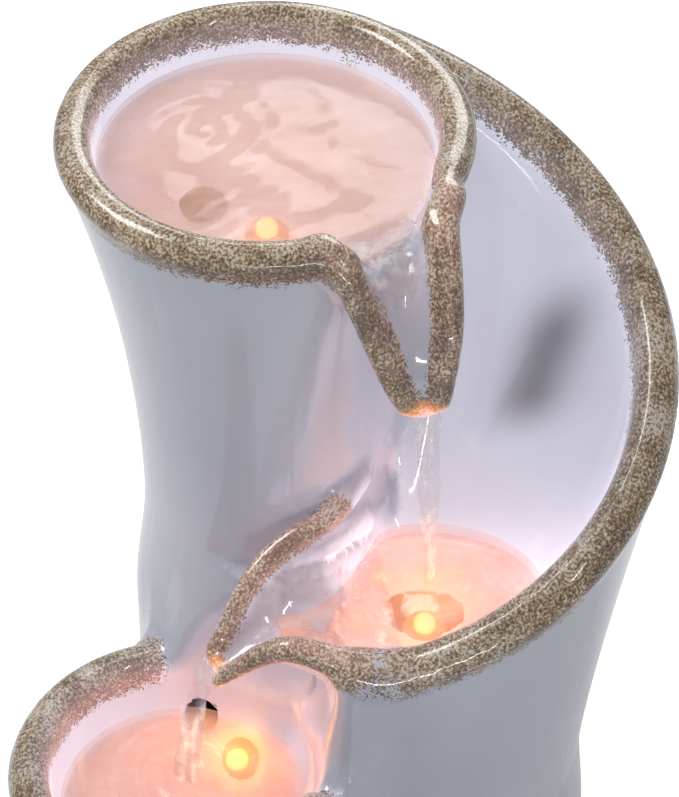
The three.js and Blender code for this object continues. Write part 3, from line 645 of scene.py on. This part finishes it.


# ceramic: pale glaze with brown speckled rims, the lamps' light painted on it as emission, and a painted grey
# shade on the cascade wall

glazeLook = {
    "pale": (0.41, 0.43, 0.50), "paleWarm": (0.46, 0.475, 0.53), "streak": (0.58, 0.59, 0.64),
    "paintedShade": (0.27, 0.27, 0.29),
    "brown": (0.22, 0.135, 0.060), "dark": (0.085, 0.060, 0.034), "tan": (0.33, 0.225, 0.125),
    "beige": (0.52, 0.41, 0.27), "cream": (0.66, 0.60, 0.52), "speckScale": 1350.0, "fade": 3.4,
    "glow": [(0.0, (0, 0, 0)), (0.05, (0.035, 0.020, 0.028)), (0.16, (0.17, 0.075, 0.075)),
             (0.34, (0.34, 0.11, 0.07)), (0.6, (0.70, 0.24, 0.06)), (0.85, (1.0, 0.55, 0.06))],
    "tip": (0.8, 0.26, 0.05), "haze": (0.86, 0.86, 1.0),
}


def glazeGroup():
    g, out = effectGroup("speckledGlaze", {"Color": "NodeSocketColor", "Rough": "NodeSocketFloat",
                                           "Height": "NodeSocketFloat", "Glow": "NodeSocketColor"})
    look = glazeLook
    cloud = noise(g, 14, 3)
    drips = noise(g, 60, 2, stretch=(1.0, 1.0, 0.06))
    base = blend(g, ramp(g, cloud, [(0.35, (0, 0, 0)), (0.7, (1, 1, 1))]), look["pale"], look["paleWarm"])
    base = blend(g, ramp(g, drips, [(0.66, (0, 0, 0)), (0.74, (0.5, 0.5, 0.5))]), base, look["streak"])
    # painted shade: the wall-shade attribute darkens the glaze towards a grey
    base = blend(g, math2(g, "MULTIPLY", attribute(g, "paintedWallShade"), 0.55), base, look["paintedShade"])
    away = attribute(g, "rimDistance")
    ragged = math2(g, "MULTIPLY_ADD", noise(g, 420, 2), 3.4, -1.7)
    wide = math2(g, "MULTIPLY_ADD", noise(g, 45, 2), 3.0, -1.5)
    edge = math2(g, "ADD", away, math2(g, "ADD", ragged, wide))
    cover = rescale(g, edge, look["fade"], -0.6)
    grain = noise(g, look["speckScale"], 1.5, 0.6)
    grain2 = noise(g, look["speckScale"] * 0.8, 1.5, 0.6, stretch=(1.1, 0.93, 1.05))
    patch = noise(g, 95, 3)
    speck = rescale(g, math2(g, "ADD", grain, math2(g, "MULTIPLY_ADD", cover, 0.58, -0.58)), 0.22, 0.27)
    facing = add(g, "ShaderNodeNewGeometry").outputs["Normal"]
    upward = add(g, "ShaderNodeSeparateXYZ", {0: facing}).outputs[2]
    mottle = math2(g, "ADD", grain2, math2(g, "MULTIPLY_ADD", patch, 0.45, -0.24))
    # painted light: surfaces facing up get lighter speckle colours
    mottle = math2(g, "ADD", mottle, math2(g, "MULTIPLY_ADD", upward, 0.10, -0.07))
    brownish = ramp(g, mottle, [(0.33, look["dark"]), (0.40, look["brown"]), (0.50, look["tan"]),
                                (0.57, look["beige"]), (0.66, look["cream"]), (0.78, look["pale"])])
    colour = blend(g, speck, base, brownish)
    g.links.new(colour, out.inputs["Color"])
    g.links.new(math2(g, "MULTIPLY_ADD", speck, 0.16, 0.09), out.inputs["Rough"])
    height = math2(g, "MULTIPLY", grain2, speck)
    height = math2(g, "ADD", height, math2(g, "MULTIPLY", noise(g, 90, 2), 0.5))
    g.links.new(height, out.inputs["Height"])
    uneven = math2(g, "MULTIPLY_ADD", noise(g, 50, 3), 0.9, 0.55)
    soft = math2(g, "MULTIPLY", attribute(g, "lampGlow"), uneven)
    glow = ramp(g, soft, look["glow"])
    haze = math2(g, "MULTIPLY", attribute(g, "lampHaze"), math2(g, "MULTIPLY_ADD", noise(g, 9, 2), 0.8, 0.6))
    haze = math2(g, "MULTIPLY", haze, math2(g, "MULTIPLY_ADD", speck, -0.8, 1.0))
    tip = ramp(g, attribute(g, "tipGlow"), [(0.0, (0, 0, 0)), (1.0, look["tip"])])
    glow = blend(g, 1.0, glow, tip, "ADD")
    glow = blend(g, 1.0, glow, ramp(g, haze, [(0.0, (0, 0, 0)), (1.0, look["haze"])]), "ADD")
    g.links.new(glow, out.inputs["Glow"])
    return g


glazeEffect = glazeGroup()
glaze, tree, shader = newMaterial("glaze", Coat_Weight=0.9, Coat_Roughness=0.04, Emission_Strength=1.0,
                                  IOR=1.5)
effect = useGroup(tree, glazeEffect, shader,
                  {"Color": "Base Color", "Rough": "Roughness", "Glow": "Emission Color"})
bumpOf(tree, shader, effect.outputs["Height"], 0.0003, 0.55)

clayVerts, clayFaces = buildClay()
solidDepth = clayDistance(clayVerts)
clayNormals = clayGradient(clayVerts, clayShell(clayVerts))
clayNormals /= np.linalg.norm(clayNormals, axis=1)[:, None] + 1e-9
# painted light: the lamps' amber glow, a glow in the troughs and a pale haze, all painted on the glaze as
# emission
glowShape = {"broad": 0.75, "core": 1.8, "coreSize": 10.0, "hazeReach": 90.0, "trough": 0.16,
             "columnShare": 0.3}
glowValue = np.zeros(len(clayVerts))
hazeValue = np.zeros(len(clayVerts))
for lampSet in lamps.values():
    towards = lampSet["lens"] - clayVerts
    far = np.linalg.norm(towards, axis=1)
    facing = clamp01(0.35 + (clayNormals * towards).sum(1) / far)
    broad = glowShape["broad"] * np.exp(-far / lampSet["reach"])
    core = glowShape["core"] * np.exp(-(far / glowShape["coreSize"])**2)
    glowValue += lampSet["tint"] * (broad + core) * facing
    straight = clamp01((clayNormals * towards).sum(1) / far + 0.1)
    hazeValue += lampSet["haze"] * np.exp(-far / glowShape["hazeReach"]) * straight
for lip in (upperLip, middleLip):
    trough = lipDistances(clayVerts, lip)[0]
    glowValue += glowShape["trough"] * np.exp(-np.maximum(trough, 0) / 2.0) * clamp01(clayNormals[:, 2])
# painted light: an orange glow along the two pouring tips
tipValue = np.zeros(len(clayVerts))
for lip in (upperLip, middleLip):
    ends = np.array([lip["left"][-1], lip["right"][-1]], float) + [0, -0.8, -2.2]
    tipValue += np.exp(-(np.maximum(tubeDistance(clayVerts, ends, np.array([1.0, 1.0])), 0) / 1.6)**2)
outerSkin = solidDepth > -2  # the glazed side, not the hollow inside
clayX, clayY, clayZ = clayVerts.T
offColumn = ease(np.abs(columnDistance(clayX, clayY, clayZ)), 1.5, 5)
glowValue *= outerSkin
hazeValue *= outerSkin
hazeValue *= mix(glowShape["columnShare"], 1.0, offColumn)

# painted shade: a soft grey patch on the glaze of the cascade wall, along a slanting line; it darkens the
# glaze and dims the painted lamp haze there
paintedWallShade = {"x": 69.0, "slant": 0.38, "middle": 164.0, "size": 11.0, "low": (146, 164), "high": (180, 205),
             "backY": 25.0, "riseY": 0.68, "riseZ": 0.73}
rise = paintedWallShade["riseY"] * clayY + paintedWallShade["riseZ"] * clayZ
aside = clayX - paintedWallShade["x"] - paintedWallShade["slant"] * (rise - paintedWallShade["middle"])
paintedShadeValue = np.exp(-(aside / paintedWallShade["size"])**2)
paintedShadeValue *= ease(rise, *paintedWallShade["low"]) * (1 - ease(rise, *paintedWallShade["high"]))
paintedShadeValue *= (clayY > paintedWallShade["backY"]) * outerSkin
hazeValue *= 1 - paintedShadeValue
ceramic = meshObject("ceramic_body", clayVerts, clayFaces,
                     {"rimDistance": rimDistance(clayVerts), "lampGlow": glowValue, "lampHaze": hazeValue,
                      "tipGlow": tipValue, "paintedWallShade": paintedShadeValue})
ceramic.data.materials.append(glaze)
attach(ceramic, "root")
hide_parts("foot_casting", "body_casting", "column_casting", "lower_basin", "cascade_wall",
            "middle_basin", "upper_bowl", "upper_spout", "middle_spout")
say("ceramic body, %d faces" % len(clayFaces))


# water: three pools, a film in each trough and two falls

waterLook = {"depth": 2.0, "film": 1.3, "clearance": 0.5, "ringCount": 44, "headings": 96, "ringLength": 8.5,
             "ringFade": 26.0, "poolReach": 22.0, "fallReach": 20.0, "broad": 0.85, "core": 0.6,
             "coreSize": 10.0}


def closedSlab(top, bottom, wrap):  # closed mesh between two grids of the same shape
    rows, columns = top.shape[:2]
    verts = np.concatenate([top.reshape(-1, 3), bottom.reshape(-1, 3)])
    other = rows * columns
    at = lambda i, j: i * columns + j % columns
    faces = []
    for i in range(rows - 1):
        for j in range(columns if wrap else columns - 1):
            ring = [at(i, j), at(i, j + 1), at(i + 1, j + 1), at(i + 1, j)]
            faces.append(ring)
            faces.append([k + other for k in ring[::-1]])
    if wrap:
        edge = [[at(rows - 1, j), at(rows - 1, j + 1)] for j in range(columns)]
    else:
        edge = [[at(0, j + 1), at(0, j)] for j in range(columns - 1)]
        edge += [[at(rows - 1, j), at(rows - 1, j + 1)] for j in range(columns - 1)]
        edge += [[at(i, 0), at(i + 1, 0)] for i in range(rows - 1)]
        edge += [[at(i + 1, columns - 1), at(i, columns - 1)] for i in range(rows - 1)]
    faces += [[a, a + other, b + other, b] for a, b in edge]
    return verts, faces


def ripple(x, y, centre, size):  # rings round the place where water drops in, on a slight swell
    r = np.hypot(x - centre[0], y - centre[1])
    rings = np.cos(r * 2 * np.pi / waterLook["ringLength"]) * np.exp(-r / waterLook["ringFade"])
    swell = np.sin(x * 0.21 + 1.3 * np.sin(y * 0.13)) * np.sin(y * 0.18 + 0.7 * np.sin(x * 0.11))
    return size * rings + 0.3 * swell


def waterPool(centre, level, furthest, dropAt):  # a disc of water that stops where it meets the clay
    headings = np.linspace(0, 2 * np.pi, waterLook["headings"], endpoint=False)
    reach = np.linspace(6, furthest, 150)
    edge = []
    for heading in headings:
        line = np.stack([centre[0] + reach * np.cos(heading), centre[1] + reach * np.sin(heading),
                         np.full(len(reach), level)], 1)
        wet = clayDistance(line) > 0
        stop = np.argmin(wet) if not wet.all() else len(reach) - 1
        edge.append(reach[stop] + (waterLook["clearance"] if not wet.all() else 0))
    edge = np.array(edge)
    shares = np.linspace(0.01, 1, waterLook["ringCount"])**0.8
    r = shares[:, None] * edge[None]
    x = centre[0] + r * np.cos(headings)
    y = centre[1] + r * np.sin(headings)
    lift = ripple(x, y, dropAt[:2], dropAt[2]) * (1 - shares[:, None]**6)
    top = np.stack([x, y, level + lift], 2)
    bottom = np.stack([x, y, level - waterLook["depth"] + 0 * x], 2)
    verts, faces = closedSlab(top, bottom, True)
    columns = waterLook["headings"]
    for base, flip in ((0, 1), (len(verts) // 2, -1)):
        faces.append([base + j for j in range(columns)][::-flip])
    return verts, faces


def lampLight(verts, spread):  # how strongly the lamps shine through the water near each point
    light = np.zeros(len(verts))
    for lampSet in lamps.values():
        far = np.linalg.norm(verts - lampSet["lens"], axis=1)
        core = waterLook["core"] * np.exp(-(far / waterLook["coreSize"])**2)
        light += lampSet["tint"] * (waterLook["broad"] * np.exp(-far / spread) + core)
    return light


def mixColour(a, b, t):
    return tuple(mix(p, q, t) for p, q in zip(a, b))


def waterMaterial(name, paleLampLight, strongLampLight, alpha, glowStops, rippleScale):
    material, tree, shader = newMaterial(name, Roughness=0.04, IOR=1.33, Coat_Weight=0.5, Coat_Roughness=0.02,
                                         Emission_Strength=1.0)
    wave = noise(tree, rippleScale, 3, 0.55, stretch=(1.0, 1.6, 1.0))
    # painted light: the water's peach-to-amber colour along the ripple noise is the lamps' light painted as
    # base colour
    colour = ramp(tree, wave, [(0.36, strongLampLight), (0.52, mixColour(paleLampLight, strongLampLight, 0.5)), (0.66, paleLampLight)])
    tree.links.new(colour, shader.inputs["Base Color"])
    opacity = rescale(tree, wave, 0.3, 0.7, *alpha)
    deepShare = math2(tree, "MULTIPLY_ADD", attribute(tree, "waterDepth"), 0.6, 0.4)
    opacity = math2(tree, "MULTIPLY", opacity, deepShare)
    tree.links.new(opacity, shader.inputs["Alpha"])
    light = math2(tree, "MULTIPLY", attribute(tree, "lampGlow"), math2(tree, "MULTIPLY_ADD", wave, 1.2, 0.4))
    tree.links.new(ramp(tree, light, glowStops), shader.inputs["Emission Color"])
    bumpOf(tree, shader, noise(tree, rippleScale * 1.6, 2), 0.002, 0.5)
    material.surface_render_method = "BLENDED"
    return material


pools = {
    "upper": {"centre": (bowl["x"], bowl["y"]), "level": bowl["water"], "furthest": 57.0,
              "drop": (-34.0, 66.0, 0.12), "paleLampLight": (0.76, 0.57, 0.49), "strongLampLight": (0.72, 0.44, 0.33),
              "alpha": (0.4, 0.68), "scale": 26.0,
              "glow": [(0.0, (0.05, 0.015, 0.012)), (0.15, (0.14, 0.045, 0.03)), (0.5, (0.5, 0.19, 0.05))]},
    "middle": {"centre": (36.0, -19.0), "level": pool["water"], "furthest": 48.0,
               "drop": (36.5, -11.5, 0.8), "paleLampLight": (0.90, 0.60, 0.50), "strongLampLight": (0.86, 0.38, 0.22),
               "alpha": (0.35, 0.62), "scale": 40.0,
               "glow": [(0.0, (0.10, 0.03, 0.018)), (0.3, (0.42, 0.125, 0.055)), (0.75, (0.85, 0.33, 0.07)),
                        (1.0, (1.0, 0.62, 0.10))]},
    "lower": {"centre": (basin["x"], basin["y"]), "level": basin["water"], "furthest": 42.0,
              "drop": (-40.0, -44.0, 0.7), "paleLampLight": (0.80, 0.52, 0.40), "strongLampLight": (0.78, 0.38, 0.23),
              "alpha": (0.3, 0.58), "scale": 36.0,
              "glow": [(0.0, (0.10, 0.03, 0.022)), (0.3, (0.34, 0.10, 0.055)), (0.75, (0.8, 0.32, 0.08)),
                       (1.0, (1.0, 0.62, 0.10))]},
}
for name, item in pools.items():
    verts, faces = waterPool(item["centre"], item["level"], item["furthest"], item["drop"])
    below = clayDistance(verts * [1, 1, 0] + [0, 0, item["level"] - 6])
    light = lampLight(verts, waterLook["poolReach"])
    surface = meshObject(name + "_water", verts, faces, {"lampGlow": light, "waterDepth": ease(below, -6, 4)})
    surface.data.materials.append(waterMaterial(name + "_water", item["paleLampLight"], item["strongLampLight"],
                                                item["alpha"], item["glow"], item["scale"]))
    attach(surface, "root")
say("water pools")


def troughFilm(lip, level, inwards, count=46, across=13):  # shallow water running down a lip's trough
    left, right, grid, depth, power = lipGrid(lip, count, across)
    half = np.linspace(*lip["half"], count)
    floorTop = grid[:, across // 2, 2] + half
    height = np.maximum(mix(level - floorTop, waterLook["film"], ease(np.linspace(0, 1, count), 0.0, 0.45)),
                        waterLook["film"])
    surfaceZ = np.minimum(floorTop + height, level)
    reach = np.clip((np.maximum(surfaceZ - floorTop, 0.2) / depth)**(1 / power) * 1.02, 0.3, 0.9)
    s = np.linspace(-1, 1, across)[None] * reach[:, None]
    top = mix(left[:, None], right[:, None], (s[..., None] + 1) / 2).copy()
    t = np.linspace(0, 1, count)[:, None]
    wobble = 0.28 * np.sin(t * 31 + 3 * s) * np.sin(6 * s + 9 * t)
    top[:, :, 2] = surfaceZ[:, None] + wobble * ease(t, 0.02, 0.2)
    first = top[:1].copy()
    first[:, :, :2] += np.array(inwards)
    top = np.concatenate([first, top])
    bottom = top - [0, 0, 1.6]
    return closedSlab(top, bottom, False)


# a twisting ribbon of falling water, thicker along its two edges
def fallRibbon(start, end, startWidth, endWidth, thickness, edge, twist, rows=70, sides=16, seed=0.0):
    t = np.linspace(0, 1, rows)
    path = mix(np.array(start, float), np.array(end, float), (t**0.55)[:, None])
    path[:, 2] = start[2] - (start[2] - end[2]) * t**1.15
    width = mix(startWidth, endWidth, t) * (1 + 0.10 * np.sin(13 * t + seed) + 0.05 * np.sin(37 * t + seed))
    angle = twist[0] + (twist[1] - twist[0]) * t + 0.12 * np.sin(9 * t + seed)
    around = np.linspace(0, 2 * np.pi, sides, endpoint=False)
    u = np.cos(around)
    thick = thickness * (1 + edge * np.abs(u)[None]**3 * (1 + 0.25 * np.sin(40 * t + 3 * seed))[:, None])
    thick = thick * (0.75 + 0.25 * np.sin(23 * t + 5 + seed))[:, None]
    v = np.sign(np.sin(around)) * np.abs(np.sin(around))**0.8
    cross = width[:, None] / 2 * u[None]
    out = thick / 2 * v[None]
    x = path[:, 0, None] + cross * np.cos(angle)[:, None] - out * np.sin(angle)[:, None]
    y = path[:, 1, None] + cross * np.sin(angle)[:, None] + out * np.cos(angle)[:, None]
    z = path[:, 2, None] + 0 * x
    ring = np.stack([x, y, z], 2)
    verts = ring.reshape(-1, 3)
    at = lambda i, j: i * sides + j % sides
    faces = [[at(i, j), at(i, j + 1), at(i + 1, j + 1), at(i + 1, j)]
             for i in range(rows - 1) for j in range(sides)]
    faces.append(list(range(sides))[::-1])
    faces.append([(rows - 1) * sides + j for j in range(sides)])
    return verts, faces


def clearWater(name, glowStops, alpha):
    material, tree, shader = newMaterial(name, Roughness=0.03, IOR=1.33, Coat_Weight=1.0, Coat_Roughness=0.02,
                                         Emission_Strength=1.0)
    strands = noise(tree, 150, 3, 0.6, stretch=(1.0, 1.0, 0.16))
    beads = noise(tree, 260, 2, 0.5)
    mixed = math2(tree, "ADD", math2(tree, "MULTIPLY", strands, 0.7), math2(tree, "MULTIPLY", beads, 0.3))
    shades = [(0.38, (0.45, 0.42, 0.44)), (0.5, (0.72, 0.70, 0.73)), (0.6, (0.98, 0.97, 0.97))]
    tree.links.new(ramp(tree, mixed, shades), shader.inputs["Base Color"])
    tree.links.new(rescale(tree, mixed, 0.42, 0.62, *alpha), shader.inputs["Alpha"])
    light = math2(tree, "MULTIPLY", attribute(tree, "lampGlow"),
                  ramp(tree, mixed, [(0.5, (0, 0, 0)), (0.62, (1, 1, 1))]))
    tree.links.new(ramp(tree, light, glowStops), shader.inputs["Emission Color"])
    bumpOf(tree, shader, mixed, 0.0015, 0.8)
    material.surface_render_method = "BLENDED"
    return material


runningWater = {
    "fall": {"glow": [(0.0, (0, 0, 0)), (0.12, (0.5, 0.18, 0.03)), (0.4, (1.0, 0.55, 0.08))],
             "alpha": (0.08, 0.55)},
    "film": {"glow": [(0.0, (0.03, 0.01, 0.01)), (0.12, (0.25, 0.09, 0.05)), (0.4, (0.9, 0.4, 0.1))],
             "alpha": (0.12, 0.5)},
}
fallWater = clearWater("falling_water", runningWater["fall"]["glow"], runningWater["fall"]["alpha"])
filmWater = clearWater("film_water", runningWater["film"]["glow"], runningWater["film"]["alpha"])
falls = {
    "upper_film": troughFilm(upperLip, bowl["water"], (-7, 9)),
    "middle_film": troughFilm(middleLip, pool["water"], (5, 2)),
    "upper_fall": fallRibbon((33.2, -12.6, 233.0), (36.5, -11.5, pool["water"]), 9.0, 5.0, 1.6, 1.2,
                             (0.0, 0.9)),
    "lower_fall": fallRibbon((-30.0, -39.6, 147.2), (-40.0, -46.0, basin["water"]), 9.5, 9.0, 0.7, 3.2,
                             (-1.1, -0.5), seed=1.7),
}
for name, (verts, faces) in falls.items():
    piece = meshObject(name + "_water", verts, faces, {"lampGlow": lampLight(verts, waterLook["fallReach"])})
    piece.data.materials.append(filmWater if "film" in name else fallWater)
    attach(piece, "root")
say("falls")


# small parts carried over from the frame

def mouldedMaterial(name, colour, darker, roughness, grainScale, grainDepth, metallic=0.0, glow=None):
    material, tree, shader = newMaterial(name, Metallic=metallic)
    broad = noise(tree, 40, 3)
    fine = noise(tree, grainScale, 2)
    tree.links.new(blend(tree, broad, darker, colour), shader.inputs["Base Color"])
    rough = rescale(tree, fine, 0.3, 0.7, roughness - 0.08, roughness + 0.08)
    tree.links.new(rough, shader.inputs["Roughness"])
    if glow:
        tree.links.new(blend(tree, fine, glow[0], glow[1]), shader.inputs["Emission Color"])
        shader.inputs["Emission Strength"].default_value = glow[2]
    bumpOf(tree, shader, fine, grainDepth, 0.6)
    return material


finishes = {  # colour, darker colour, roughness, grain scale and grain depth
    "foam_pad": ((0.05, 0.05, 0.052), (0.02, 0.02, 0.02), 0.9, 1400, 0.0006),
    "cover_rubber": ((0.50, 0.51, 0.55), (0.42, 0.43, 0.47), 0.5, 1500, 0.0001),
    "seal_rubber": ((0.05, 0.045, 0.04), (0.03, 0.028, 0.026), 0.6, 1500, 0.0001),
    "light_body": ((0.75, 0.72, 0.66), (0.65, 0.60, 0.52), 0.25, 900, 0.00005),
    "pump_black": ((0.03, 0.03, 0.032), (0.018, 0.018, 0.02), 0.45, 1800, 0.00012),
    "pump_grey": ((0.16, 0.16, 0.17), (0.11, 0.11, 0.12), 0.5, 1800, 0.00012),
    "rotor": ((0.22, 0.19, 0.17), (0.16, 0.14, 0.13), 0.5, 1200, 0.0001),
    "hose": ((0.62, 0.67, 0.68), (0.52, 0.58, 0.60), 0.3, 500, 0.00005),
    "lead_sheath": ((0.03, 0.03, 0.03), (0.02, 0.02, 0.02), 0.4, 1500, 0.00005),
}
made = {key: mouldedMaterial(key, *values) for key, values in finishes.items()}
made["shaft"] = mouldedMaterial("shaft", (0.62, 0.62, 0.64), (0.5, 0.5, 0.52), 0.25, 2500, 0.00003,
                                metallic=1.0)
# painted light: the lamp grommets glow amber as emission
made["amber_ring"] = mouldedMaterial("amber_ring", (0.60, 0.20, 0.04), (0.42, 0.12, 0.02), 0.35, 900,
                                     0.00005, glow=((0.9, 0.22, 0.01), (1.0, 0.35, 0.02), 0.8))
lens, tree, shader = newMaterial("light_lens", Roughness=0.08, Emission_Strength=2.8)
core = add(tree, "ShaderNodeLayerWeight", {"Blend": 0.35}).outputs["Facing"]
core = math2(tree, "ADD", core, math2(tree, "MULTIPLY_ADD", noise(tree, 700, 2), 0.2, -0.1))
lensGlow = [(0.05, (1.0, 0.64, 0.14)), (0.4, (1.0, 0.45, 0.04)), (0.8, (0.9, 0.20, 0.01))]
tree.links.new(ramp(tree, core, lensGlow), shader.inputs["Emission Color"])
lensTint = [(0.0, (1.0, 0.8, 0.4)), (0.7, (1.0, 0.4, 0.05))]
tree.links.new(ramp(tree, core, lensTint), shader.inputs["Base Color"])
made["light_lens"] = lens

for part in frame["record"]["subparts"]:
    node = frame["nodes"].get(part["node"])
    key = "amber_ring" if part["node"].endswith("light_grommet") else part["material_slot"]
    if node is not None and key in made:
        node.data.materials.clear()
        node.data.materials.append(made[key])
say("small parts")


# studio: pale floor, soft lights and the camera

studio = {"floorGlow": 0.62, "floorHalf": 4000.0, "skyColour": (0.93, 0.95, 1.0, 1), "sky": 0.42,
          "aim": (0, 0, 0.17)}
stageMaterial, tree, shader = newMaterial("floor", Roughness=0.6)
tree.links.new(ramp(tree, noise(tree, 6, 2), [(0.3, (0.80, 0.80, 0.81)), (0.7, (0.83, 0.83, 0.83))]),
               shader.inputs["Base Color"])
seen = add(tree, "ShaderNodeLightPath").outputs["Is Camera Ray"]
tree.links.new(math2(tree, "MULTIPLY", seen, studio["floorGlow"]), shader.inputs["Emission Strength"])
shader.inputs["Emission Color"].default_value = (1, 1, 1, 1)
half = studio["floorHalf"]
stage = meshObject("floor", [(-half, -half, 0), (half, -half, 0), (half, half, 0), (-half, half, 0)],
                   [(0, 1, 2, 3)], smooth=False)
stage.data.materials.append(stageMaterial)

world = bpy.data.worlds.new("studio")
scene.world = world
world.use_nodes = True
sky = world.node_tree.nodes["Background"]
sky.inputs[0].default_value = studio["skyColour"]
sky.inputs[1].default_value = studio["sky"]

softboxes = {
    "overhead_left": {"at": (-0.6, 0.15, 1.0), "size": (0.4, 0.4), "energy": 5},
    "front_strip": {"at": (0.1, -1.2, 0.25), "size": (0.7, 0.025), "energy": 2.2},
    "right_strip": {"at": (0.45, -0.6, 0.9), "size": (0.02, 0.3), "energy": 0.6},
    "back_fill": {"at": (0.3, 0.9, 0.8), "size": (0.7, 0.5), "energy": 4},
}
for name, box in softboxes.items():
    lamp = bpy.data.lights.new(name, "AREA")
    lamp.shape = "RECTANGLE"
    lamp.size, lamp.size_y = box["size"]
    lamp.energy = box["energy"]
    holder = bpy.data.objects.new(name, lamp)
    holder.location = box["at"]
    holder.rotation_euler = (Vector(studio["aim"]) - holder.location).to_track_quat("-Z", "Y").to_euler()
    scene.collection.objects.link(holder)

view = {"lens": 150.56, "sensor": 36, "aim": (0.00835, 0.0, 0.221), "pitch": 43 * deg}  # one metre away
camera = bpy.data.cameras.new("camera")
camera.lens = view["lens"]
camera.sensor_width = view["sensor"]
holder = bpy.data.objects.new("camera", camera)
pitch = view["pitch"]
holder.location = Vector(view["aim"]) - Vector((0, math.cos(pitch), -math.sin(pitch)))
holder.rotation_euler = (math.pi / 2 - pitch, 0, 0)
scene.collection.objects.link(holder)
scene.camera = holder
scene.view_settings.view_transform = "Standard"
say("studio")
